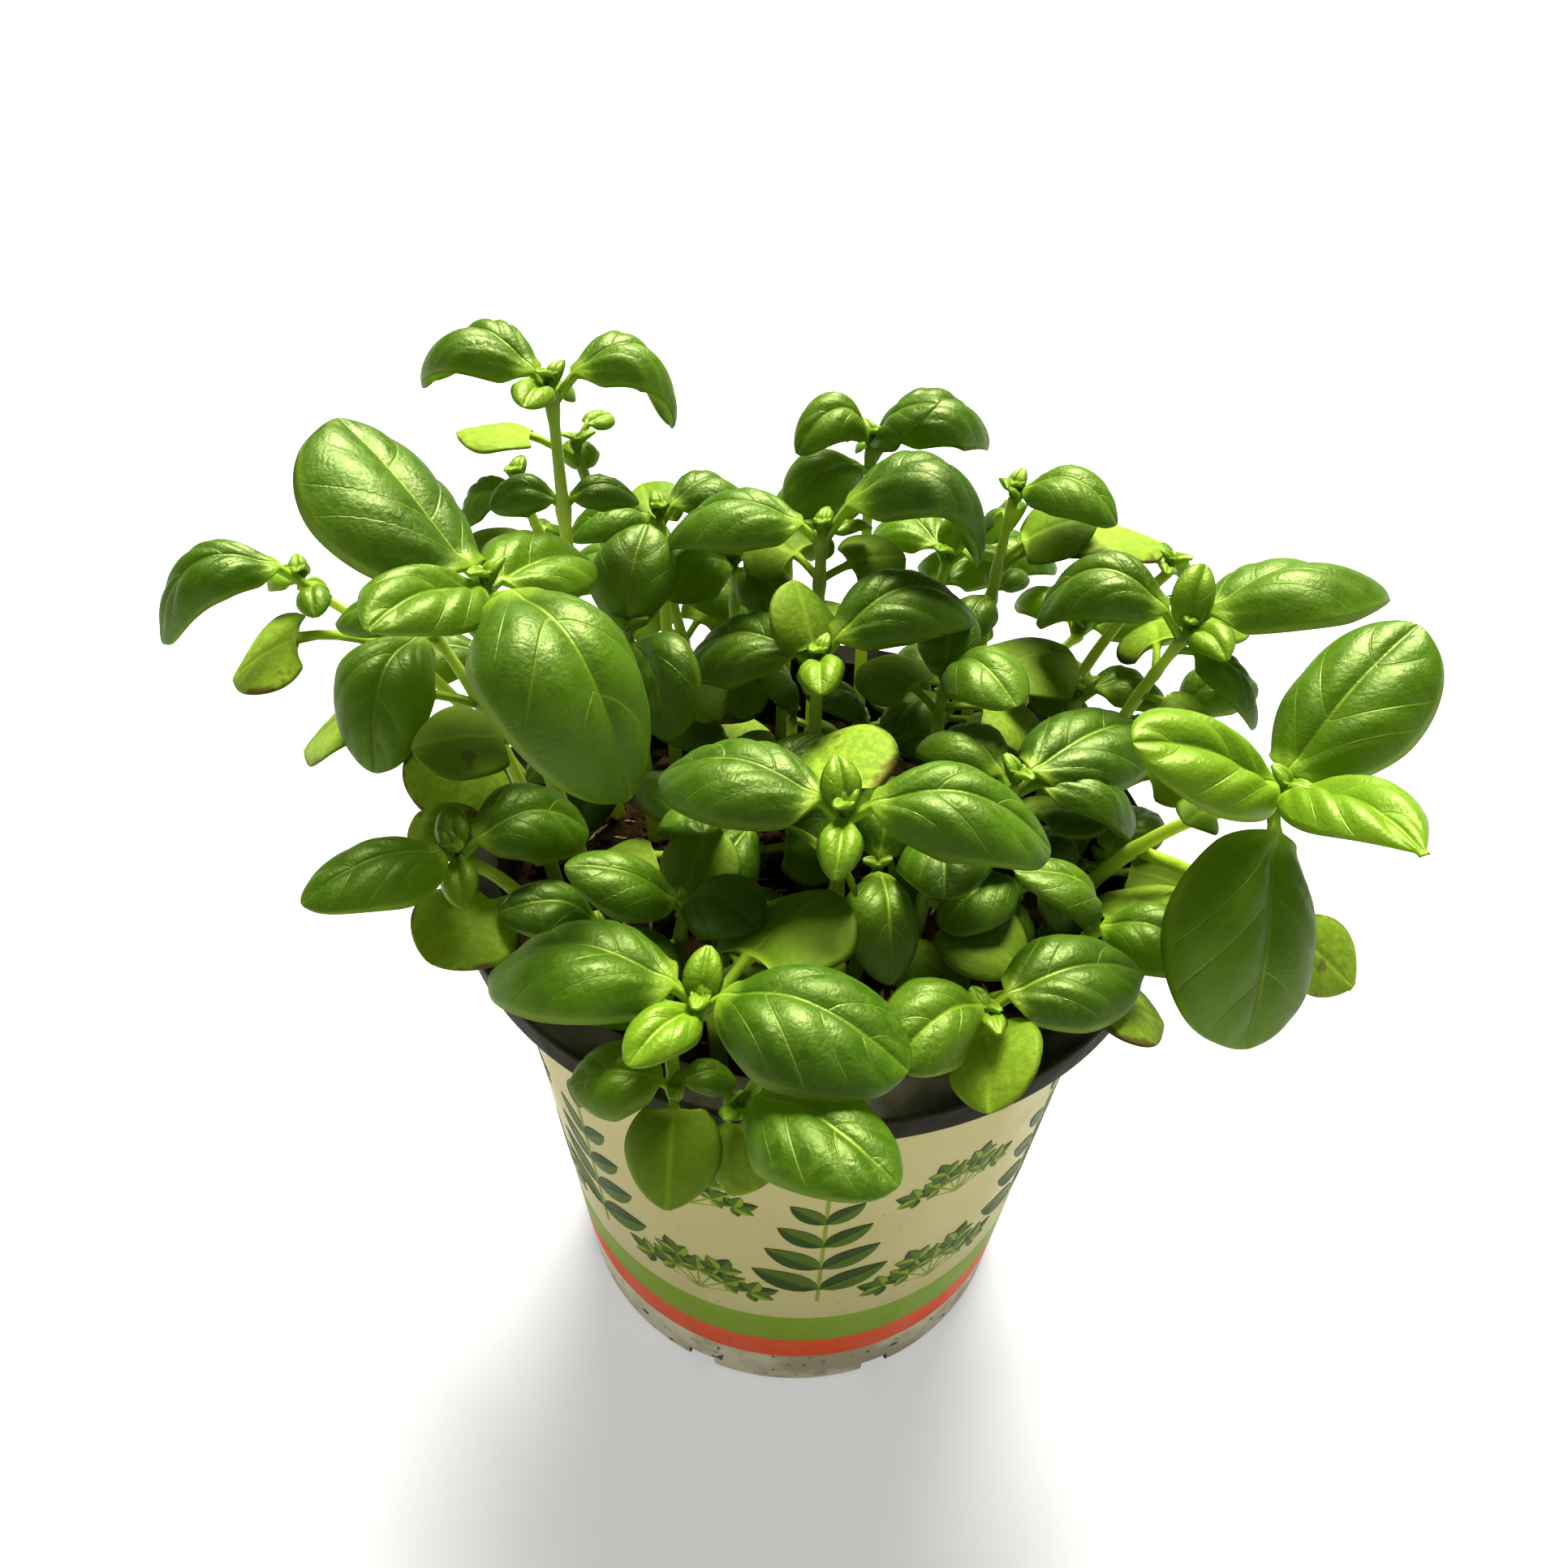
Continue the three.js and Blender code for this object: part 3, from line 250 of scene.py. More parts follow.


# The stems, as in the part: the root in the soil, the growing tip, and each leaf's azimuth, rise and length,
# after its place on the stem. Young leaves all sit at the tip. Lean and lift place the stem's bend.
# The tones given here are painted light and shade: a low one darkens a leaf that stands in shade, a high one
# lightens a leaf that the lamp leaves dark.
STEMS = [
    stem("tall_back", (-44, 21), (-45, 20, 190), [
        leaf(0.97, 155, 5, 28, width=0.76, arch=0.34, hook=0.5),
        leaf(0.97, 30, -10, 26, width=0.8, arch=0.42, hook=0.6, tone=0.3),
        young(90, -15, 13, bank=35, width=0.68, arch=0.1),
        young(-105, 15, 11, bank=-15, arch=0.16),
        leaf(0.72, -175, 5, 13, bank=-30, arch=0.28),
        leaf(0.72, 20, 5, 14, bank=20, width=0.76, arch=0.26),
    ]),
    stem("back_thin", (-35, 36), (-47, 49, 166), [
        leaf(0.9, 110, 25, 11, bank=-10, arch=0.22),
        young(50, 35, 11, bank=5, width=0.64, arch=0.22, stalk=0.5),
        seed(0.95, -175, 20, 24, bank=10, width=0.82, arch=0.12, stalk=0.45),
        seed(0.6, 80, 5, 18, bank=30),
    ], lean=0.3, lift=0.7),
    stem("back_left", (-42, 29), (-56, 35, 166), [
        leaf(0.97, 170, -30, 16, bank=-20),
        young(-45, 10, 6, bank=20, arch=0.16),
        leaf(0.8, 80, -35, 12, bank=20),
        seed(0.72, 175, 5, 18, bank=-10, width=0.82, arch=0.12),
    ], lean=0.3, lift=0.7),
    stem("far_left", (-43, 3), (-94, 21, 152), [
        leaf(0.95, -160, -5, 32, bank=-5, width=0.6, arch=0.38, stalk=0.16, hook=0.4),
        leaf(0.97, -70, 5, 10, bank=5),
        young(135, -15, 14, bank=-15, width=0.68, arch=0.1),
        young(45, -30, 6, bank=20),
        seed(0.72, -175, -5, 32, bank=-20, width=0.58, arch=0.16, stalk=0.55),
    ], lean=0.3, lift=0.75),
    stem("left_big", (-38, -8), (-51, -12, 172), [
        leaf(0.97, 145, 35, 37, bank=20, width=1, arch=0.08, stalk=0.14, hook=0.1, tone=0),
        leaf(0.97, -50, -20, 42, bank=-5, width=0.76, arch=0.34, taper=0.3, tone=0.6),
        young(-115, 20, 26, bank=-15, width=0.68, arch=0.1, fresh=0.5),
        young(60, -10, 25, bank=20, width=0.72, arch=0.1, fresh=0.5),
        seed(0.5, -160, 20, 22, width=0.86, arch=0.12),
    ]),
    stem("left_mid", (-46, -6), (-68, 10, 150), [
        leaf(0.97, -105, -20, 29, bank=-15, width=0.68, arch=0.34, tone=0.1),
        leaf(0.97, 175, 10, 19, width=0.76, arch=0.26),
        young(85, -25, 10, bank=30, width=0.68, arch=0.14),
        seed(0.62, -100, -15, 22, bank=-40, width=1, arch=0.08),
        seed(0.7, -170, -10, 33, bank=15, width=0.82, arch=0.18, stalk=0.45),
    ], lean=0.3, lift=0.7),
    stem("left_front", (-41, -25), (-57, -31, 134), [
        leaf(0.97, -140, 15, 26, width=0.76, arch=0.18),
        leaf(0.97, 35, -5, 24, bank=20, width=0.8, arch=0.26),
        young(100, 40, 9, bank=-5),
        young(-70, -5, 10, bank=10, arch=0.2),
        seed(0.55, -125, 5, 20, bank=-15, width=0.98, arch=0.12, stalk=0.3),
        seed(0.85, 140, 10, 16, bank=-5, width=0.82, arch=0.12),
    ], lean=0.3, lift=0.8),
    stem("mid_left", (-30, 10), (-34, 14, 148), [
        leaf(0.94, 80, 55, 23, bank=15, arch=0.22),
        leaf(0.94, -65, -15, 22, bank=55, width=0.76, arch=0.28),
        young(115, -40, 11, bank=-20, arch=0.16),
        seed(0.6, 20, 5, 26, bank=5, width=0.82, arch=0.12),
    ]),
    stem("mid_back", (0, 30), (0, 23, 164), [
        leaf(0.97, 170, 0, 31, width=0.76, hook=0.5),
        leaf(0.97, 15, 0, 37, bank=-15, width=0.82, arch=0.42, hook=0.6),
        young(50, -10, 13, bank=-15, width=0.68, arch=0.14),
        young(80, -50, 9, bank=30, arch=0.2),
        seed(0.82, 140, 10, 18, bank=-20, arch=0.12),
        seed(0.82, 25, 5, 18, bank=20),
    ]),
    stem("back_right", (11, 46), (9, 48, 170), [
        leaf(0.97, -150, 25, 21, bank=-25, width=0.66, arch=0.34, hook=0.8),
        leaf(0.97, -35, 50, 19, bank=25, width=0.8, arch=0.16),
        leaf(0.9, -140, -5, 21, bank=-20, arch=0.26),
        leaf(0.93, 30, 5, 31, width=0.76, arch=0.32, hook=0.6),
        young(100, -20, 9, bank=-35, width=0.68, arch=0.12),
    ]),
    stem("right_back", (32, 38), (36, 41, 164), [
        leaf(0.97, -30, 15, 23, bank=10, arch=0.26, hook=0.6),
        leaf(0.9, 95, -40, 17, bank=-35, arch=0.26),
        young(-110, 40, 9, bank=-35, width=0.68, arch=0.1),
        seed(0.7, -5, 40, 22, bank=10, width=0.82, arch=0.12),
        seed(0.7, 10, 10, 34, bank=-10, width=0.8, arch=0.16),
        leaf(0.6, -120, -5, 14),
        leaf(0.6, 60, 0, 14),
    ], lean=0.5, lift=0.65),
    stem("right_rear", (41, 23), (68, 40, 150), [
        leaf(0.97, 65, -10, 15, bank=20, width=0.82, arch=0.22),
        leaf(0.9, 160, -25, 13, bank=-20),
        young(-110, 30, 7, bank=-20, arch=0.16),
        seed(0.8, 0, -5, 25, bank=-15, width=0.82, arch=0.14),
    ], lean=0.3, lift=0.75),
    stem("right_mid", (45, 10), (64, 11, 154), [
        leaf(0.97, 155, 0, 31, bank=-15, width=0.68, arch=0.34, hook=0.6),
        leaf(0.97, 20, 10, 37, bank=-20, width=0.9, arch=0.26, hook=0.1),
        young(70, 65, 13, bank=20, width=0.64, arch=0.2),
        young(-70, 15, 12, bank=25, arch=0.2),
        seed(0.8, 80, 5, 17, bank=-45, width=0.98, arch=0.14),
        leaf(0.92, -20, -30, 21, bank=-5),
        seed(0.7, -40, 0, 14, bank=5),
    ], lean=0.5, lift=0.65),
    stem("right_big", (42, -12), (71, -28, 150), [
        leaf(0.97, 40, 40, 35, bank=-5, width=0.75, arch=0.12, hook=0.1, tone=0.6),
        leaf(0.97, -95, -50, 40, bank=-30, width=0.8, arch=0.14, tone=1),
        young(-170, 30, 30, bank=-10, width=0.7, arch=0.1),
        young(-70, 25, 29, arch=0.16, hook=0.05, taper=0.5),
        seed(0.52, -20, -20, 44, bank=30, width=0.32, arch=0.06, stalk=0.7),
        seed(0.8, -135, 20, 10, bank=-15, width=0.82),
    ], lean=0.3, lift=0.7),
    stem("right_low", (47, -1), (67, 12, 134), [
        leaf(0.97, 30, 20, 20, arch=0.28),
        leaf(0.9, 125, -50, 18, bank=-15, arch=0.3),
        seed(0.55, 5, 20, 20, bank=10),
    ], lean=0.3, lift=0.8),
    stem("center_back", (0, 8), (0, 4, 150), [
        leaf(0.97, 155, -10, 28, bank=-15, arch=0.22),
        leaf(0.97, 30, 10, 34, bank=20, width=0.62, arch=0.28),
        young(85, -40, 13, bank=15, width=0.68, arch=0.16),
        young(-90, 15, 13, bank=20, width=0.68, arch=0.2),
        seed(0.88, 115, 55, 19, bank=15, width=0.82, arch=0.12),
        seed(0.6, -150, -20, 18, bank=-20, arch=0.12),
    ]),
    stem("center_right", (22, 14), (23, 10, 142), [
        leaf(0.95, 85, 35, 19, width=0.74, arch=0.26),
        leaf(0.95, -60, 30, 22, bank=20, arch=0.32),
        seed(0.8, 140, 10, 19, bank=-5, arch=0.12),
        seed(0.75, 30, 20, 30, bank=-10, width=0.82, arch=0.12, stalk=0.45),
        seed(0.85, -5, -10, 21, arch=0.12),
    ]),
    stem("center_far", (-16, 34), (-16, 36, 150), [
        leaf(0.97, -130, 10, 19, bank=-30, arch=0.26),
        leaf(0.97, -50, -5, 18, bank=5),
        seed(0.8, 100, 35, 22, bank=-35, width=0.78, arch=0.12),
    ]),
    stem("back_dark", (-28, 32), (-30, 35, 160), [
        leaf(0.97, -160, 5, 18, bank=-15, arch=0.26),
        leaf(0.97, 40, 0, 22, width=0.76, arch=0.32),
        seed(0.85, 110, 25, 18, bank=-10, width=0.8, arch=0.12),
    ]),
    stem("front_mid", (4, -18), (4, -34, 148), [
        leaf(0.97, 155, 0, 33, bank=5, width=0.8, arch=0.2),
        leaf(0.97, -5, 0, 33, bank=15, width=0.66, arch=0.26),
        young(105, 50, 10, bank=-5, width=0.68),
        young(-95, -5, 12, bank=-5),
        seed(0.8, 100, 10, 24, bank=-35, width=1),
        seed(0.5, -120, 65, 21, bank=-20, arch=0.12),
    ]),
    stem("right_center", (30, -4), (33, -15, 140), [
        leaf(0.97, 35, 5, 32, bank=10, width=0.7, arch=0.12),
        leaf(0.9, 130, 0, 22, bank=-5, arch=0.32),
        leaf(0.9, 15, -20, 28, bank=-10, arch=0.28),
        seed(0.6, 30, -5, 23, bank=-15, width=0.82, arch=0.12),
    ]),
    stem("under_right", (16, -28), (21, -19, 130), [
        leaf(0.97, -95, 25, 22, bank=5, width=0.8, arch=0.22),
        leaf(0.97, -5, 5, 15, bank=5),
        seed(0.6, -45, 0, 22, bank=5, width=0.82),
        seed(0.7, 35, -30, 16, bank=-10, width=0.82),
    ]),
    stem("under_left", (6, -34), (11, -22, 126), [
        leaf(0.97, -85, -10, 22, bank=-10, width=0.72, arch=0.36),
        leaf(0.97, 75, 30, 20),
        seed(0.6, -150, -15, 22),
        seed(0.6, -35, -10, 22, bank=-20),
    ]),
    stem("front_left", (-14, -44), (-16, -57, 130), [
        leaf(0.97, 165, 0, 35, bank=5, width=0.8, arch=0.26),
        leaf(0.97, -25, 10, 33, arch=0.26),
        young(85, 50, 10, width=0.64),
        young(-125, 15, 16, bank=-5),
        seed(0.75, 50, 15, 28, bank=-25, width=0.96, arch=0.08),
        seed(0.6, -170, 15, 22, bank=30, width=0.82, arch=0.08),
    ], lean=0.3, lift=0.8),
    stem("front_lip", (2, -44), (-10, -68, 121), [
        leaf(0.97, -40, 20, 29, arch=0.2, tone=0),
        young(-110, 50, 7, arch=0.16),
        young(100, -25, 7, bank=-10, arch=0.16),
        seed(0.9, -100, -30, 15, bank=20, width=0.8, arch=0.08),
    ], lean=0.2, lift=1.4),
    stem("front_edge", (-24, -40), (-19, -67, 123), [
        leaf(0.97, 175, 0, 16, bank=-10, width=0.9, arch=0.2),
        leaf(0.97, 25, -10, 10, bank=5, arch=0.26),
        seed(0.97, -90, -40, 17, width=0.86, stalk=0.15),
    ], lean=0.2, lift=1.35),
    stem("front_right", (26, -38), (26, -54, 128), [
        leaf(0.97, -140, 15, 21, bank=-25, width=0.8, arch=0.22),
        leaf(0.97, 20, 5, 27, arch=0.18),
        young(-85, 30, 7, bank=5, arch=0.16),
        young(135, 45, 5, bank=-5),
        seed(0.7, -90, 0, 20, bank=40, width=0.82, stalk=0.35),
        seed(0.7, 0, -5, 30, bank=-10, width=0.54, arch=0.16, stalk=0.55),
    ], lean=0.3, lift=0.9),
    stem("left_under", (-24, -24), (-21, -31, 124), [
        leaf(0.97, -175, 35, 22, bank=-5, width=0.8, arch=0.16),
        leaf(0.97, -40, 30, 19, bank=15),
        seed(0.7, 70, 50, 19, bank=-10, arch=0.14),
        seed(0.6, -130, -10, 14, bank=10),
    ]),
    stem("left_rim", (-34, -33), (-35, -31, 118), [
        leaf(0.97, 195, 35, 19, bank=-10, arch=0.26),
        leaf(0.97, -45, 5, 20, arch=0.22),
        seed(0.6, -135, 35, 18),
    ]),
    stem("right_rim", (40, -26), (46, -31, 122), [
        leaf(0.97, -175, 50, 22, arch=0.28),
        leaf(0.97, -30, 15, 21, bank=15, arch=0.26),
        seed(0.7, 25, 25, 21, bank=-15, width=0.82),
    ]),
    stem("mid_low", (-12, -4), (-10, -10, 126), [
        leaf(0.97, -115, -15, 19, bank=-10, width=0.76, arch=0.16),
        leaf(0.97, 40, 50, 20, arch=0.22),
        seed(0.6, -95, -25, 20, bank=-10, width=0.82),
        seed(0.6, -5, 5, 18, bank=10),
    ]),
    stem("right_dark", (40, 6), (49, 16, 136), [
        leaf(0.97, 115, -10, 22, bank=-5, width=0.8, arch=0.2),
        leaf(0.97, 20, -15, 22, arch=0.32),
        seed(0.7, 85, 20, 15, bank=15),
    ]),
    stem("low_back", (-4, 22), (-4, 21, 126), [
        leaf(0.97, -150, 55, 22, bank=-15, width=0.8),
        leaf(0.97, -10, -55, 18, bank=10),
        seed(0.6, -100, -5, 15, bank=-20),
    ]),
    stem("rear_left", (-23, 41), (-33, 57, 137), [
        leaf(0.97, 165, -15, 27),
        leaf(0.97, -20, -15, 24),
        leaf(0.76, 95, -5, 25),
        young(110, 45, 12),
        young(-60, 40, 9),
        seed(0.55, 55, 20, 16),
        seed(0.55, 140, 5, 16),
    ], lean=0.3, lift=0.75),
    stem("rear_mid", (-6, 46), (-6, 66, 140), [
        leaf(0.97, 150, -5, 29),
        leaf(0.97, 60, 5, 27),
        leaf(0.78, 90, -10, 26),
        young(100, 75, 12),
        young(-80, 45, 9),
        seed(0.5, 40, 5, 17),
        seed(0.5, 130, 5, 17),
    ], lean=0.3, lift=0.75),
    stem("rear_right", (20, 41), (28, 61, 139), [
        leaf(0.97, 120, -5, 27),
        leaf(0.97, 10, 0, 26),
        leaf(0.76, 65, -10, 26),
        young(60, 75, 12),
        young(-120, 45, 9),
        seed(0.55, 20, 5, 16),
        seed(0.55, 110, 5, 16),
    ], lean=0.3, lift=0.75),
    stem("rear_side_left", (-45, 12), (-63, 30, 131), [
        leaf(0.97, 185, -5, 24),
        leaf(0.97, 95, 0, 24),
        young(130, 75, 10),
        seed(0.6, 150, 0, 15),
        seed(0.6, 70, 50, 15),
    ], lean=0.2, lift=0.95),
    stem("rear_side_right", (37, 30), (55, 46, 131), [
        leaf(0.97, 105, -5, 24),
        leaf(0.97, 15, 0, 24),
        young(50, 75, 10),
        seed(0.6, 30, 0, 15),
        seed(0.6, 120, -5, 15),
    ], lean=0.2, lift=0.95),
    stem("sprout_1", (-14, 12), (-15, 13, 122), [
        leaf(1, 150, 5, 18),
        leaf(1, -50, 5, 18),
        seed(0.8, 85, 5, 17),
        seed(0.8, -120, 0, 17),
    ]),
    stem("sprout_2", (12, -6), (13, -8, 124), [
        leaf(1, 20, 5, 19),
        leaf(1, -160, 5, 19),
        seed(0.8, 105, 5, 18),
        seed(0.8, -70, -40, 18),
    ]),
    stem("sprout_3", (25, 26), (26, 28, 126), [
        leaf(1, 105, 5, 20),
        leaf(1, -130, 5, 20),
        seed(0.8, 140, 5, 18),
        seed(0.8, -30, 5, 18),
    ]),
    stem("sprout_4", (-20, -12), (-22, -13, 123), [
        leaf(1, 110, 10, 19),
        leaf(1, -70, 50, 19),
        seed(0.8, 65, 15, 15),
        seed(0.8, -160, 5, 18),
    ]),
    stem("sprout_5", (9, 19), (10, 21, 124), [
        leaf(1, 0, -20, 18),
        leaf(1, 200, 45, 18),
        seed(0.8, 45, -40, 17),
        seed(0.8, -90, 20, 17),
    ]),
    stem("inner_left", (-38, 18), (-41, 17, 119), [
        leaf(1, -135, 10, 18),
        leaf(1, 220, 45, 16),
        leaf(0.85, -100, -15, 18),
        young(45, 40, 9),
    ]),
    stem("inner_right", (34, -16), (36, -20, 122), [
        leaf(1, -5, -45, 16),
        leaf(1, 215, 5, 19),
        leaf(0.85, 60, 5, 19),
        leaf(0.85, -100, -45, 14),
        young(60, 40, 9),
    ]),
    stem("inner_front", (-13, -29), (-15, -32, 119), [
        leaf(1, 10, 5, 15),
        leaf(1, -110, -45, 15),
        seed(0.85, 100, 5, 18),
        seed(0.85, -55, 0, 17),
        young(75, 40, 9),
    ]),
    stem("inner_edge", (50, -9), (52, -10, 118), [
        leaf(1, 45, 15, 18),
        leaf(1, -195, -40, 13),
        seed(0.85, 150, 5, 17),
        seed(0.85, -20, 10, 17),
    ]),
]


# Meshes


def unit(vectors):
    return vectors / np.linalg.norm(vectors, axis=-1, keepdims=True)


def ease(value):
    """0 below 0, 1 above 1, and smooth between."""
    value = np.clip(value, 0, 1)
    return value * value * (3 - 2 * value)


def linked(name, mesh, materials):
    """A new object in the scene."""
    for material in materials:
        mesh.materials.append(material)
    piece = bpy.data.objects.new(name, mesh)
    bpy.context.scene.collection.objects.link(piece)
    return piece


def add_piece(name, mesh, materials, slot, *nodes):
    """A new object on the part's one body, which stands for the named nodes."""
    piece = linked(name, mesh, materials)
    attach(piece, "root")
    if nodes:
        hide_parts(*nodes)


def mesh_from(shape, name, smooth=True, outward=True):
    """The finished shape as a mesh, with its faces smooth and turned outward where asked."""
    for face in shape.faces:
        face.smooth = smooth
    if outward:
        bmesh.ops.recalc_face_normals(shape, faces=shape.faces)
    mesh = bpy.data.meshes.new(name)
    shape.to_mesh(mesh)
    shape.free()
    return mesh


class Skin:
    """Collects closed tubes of quads, with a material slot for each and named values for each point."""

    VALUES = ("along", "across", "vein", "lines", "rib", "tone", "fresh", "under", "pale")

    def __init__(self):
        self.points = []
        self.quads = []
        self.caps = []
        self.quad_slots = []
        self.cap_slots = []
        self.values = {name: [] for name in self.VALUES}
        self.count = 0

    def tube(self, rings, slot, end=None, **values):
        """Rings of points, shape (rows, around, 3), capped at both ends, or drawn to the point `end`."""
        rows, around = rings.shape[:2]
        last = self.count + rows * around
        ids = np.arange(self.count, last).reshape(rows, around)
        turned = np.roll(ids, -1, axis=1)
        quads = np.stack([ids[:-1], turned[:-1], turned[1:], ids[1:]], axis=-1).reshape(-1, 4)
        points = rings.reshape(-1, 3)
        caps = [ids[0][::-1].tolist()]
        if end is None:
            caps.append(ids[-1].tolist())
        else:
            points = np.vstack([points, end])
            caps += [[int(a), int(b), last] for a, b in zip(ids[-1], turned[-1])]
        for name in self.VALUES:
            given = np.broadcast_to(values.get(name, 0.0), (rows, around)).ravel()
            if end is not None:
                given = np.append(given, given[-around:].mean())
            self.values[name].append(given)
        self.points.append(points)
        self.quads.append(quads)
        self.caps += caps
        self.quad_slots.append(np.full(len(quads), slot))
        self.cap_slots += [slot] * len(caps)
        self.count += len(points)

    def mesh(self, name):
        """One mesh, in metres, smooth shaded."""
        points = np.vstack(self.points) * MM
        quads = np.vstack(self.quads)
        sizes = np.array([4] * len(quads) + [len(cap) for cap in self.caps], np.int32)
        corners = np.concatenate([quads.ravel(), *self.caps]).astype(np.int32)
        slots = np.concatenate([*self.quad_slots, self.cap_slots]).astype(np.int32)
        mesh = bpy.data.meshes.new(name)
        mesh.vertices.add(len(points))
        mesh.vertices.foreach_set("co", points.astype(np.float32).ravel())
        mesh.loops.add(len(corners))
        mesh.loops.foreach_set("vertex_index", corners)
        mesh.polygons.add(len(sizes))
        mesh.polygons.foreach_set("loop_start", np.append(0, np.cumsum(sizes)[:-1]).astype(np.int32))
        mesh.polygons.foreach_set("material_index", slots)
        mesh.polygons.foreach_set("use_smooth", np.ones(len(sizes), bool))
        for value_name, parts in self.values.items():
            attribute = mesh.attributes.new(value_name, "FLOAT", "POINT")
            attribute.data.foreach_set("value", np.concatenate(parts).astype(np.float32))
        mesh.update(calc_edges=True)
        mesh.validate()
        return mesh


# Stems and leaves


def stem_axis(plant, share):
    """Points on the stem's curved axis, from 0 at its foot in the soil to 1 at its growing tip."""
    foot = np.array([*plant["root"], SOIL_LEVEL - ROOT_DEPTH], float)
    tip = np.array(plant["tip"], float)
    bend = foot + (tip - foot) * plant["lean"]
    bend[2] = SOIL_LEVEL + (tip[2] - SOIL_LEVEL) * plant["lift"]
    share = np.atleast_1d(share)[:, None]
    return (1 - share) ** 2 * foot + 2 * share * (1 - share) * bend + share**2 * tip


def stem_skin(skin, plant, tone):
    """A squarish, lightly grooved tube that swells where leaves leave it, in rings square to its axis."""
    share = np.linspace(0, 1, STEM_ROWS)
    centres = stem_axis(plant, share)
    ahead = unit(np.gradient(centres, axis=0))
    run = np.array([*plant["tip"][:2], 0.0]) - np.array([*plant["root"], 0.0])
    across = unit(np.array([-run[1], run[0], 0.0]))
    depth = np.cross(ahead, across)
    radius = STEM_FOOT_RADIUS + (STEM_TOP_RADIUS - STEM_FOOT_RADIUS) * share
    for one in plant["leaves"]:
        radius = radius * (1 + NODE_SWELL * np.exp(-(((share - one["node"]) / NODE_REACH) ** 2)))
    angle = np.arange(STEM_SIDES) * TURN / STEM_SIDES
    square = 1 + STEM_SQUARENESS * np.cos(4 * angle)
    wide = radius[:, None] * square * np.cos(angle)
    deep = radius[:, None] * square * np.sin(angle)
    rings = centres[:, None] + wide[..., None] * across + deep[..., None] * depth[:, None]
    end = centres[-1] + ahead[-1] * STEM_TOP_RADIUS
    skin.tube(rings, STEM_SLOT, end, along=share[:, None], across=square, tone=tone, pale=1)


def outline(shape, taper, blade):
    """Half width along the blade, as a share of the widest."""
    blade = np.clip(blade, 0, 1)
    if shape == "round":
        return np.sin(math.pi * blade**0.82) ** 0.56
    return np.sin(math.pi * blade ** (0.95 - 0.25 * taper)) ** (0.56 - (0.18 - taper) * blade)


def midrib_line(one, along, draw):
    """The midrib in its own upright plane: how far forward and up each row lies. The tip hooks downwards."""
    length = one["length"]
    plain = np.stack([length * along, length * one["arch"] * np.sin(math.pi * along**0.9)], axis=1)
    forward, up = np.diff(plain, axis=0).T
    middle = (along[1:] + along[:-1]) / 2
    hook = one["hook"] * draw.uniform(0.8, 1.15) * np.clip((middle - 0.3) / 0.7, 0, 1) ** 1.5
    turned = [forward * np.cos(hook) + up * np.sin(hook), up * np.cos(hook) - forward * np.sin(hook)]
    return np.vstack([plain[:1], plain[0] + np.cumsum(turned, axis=1).T])


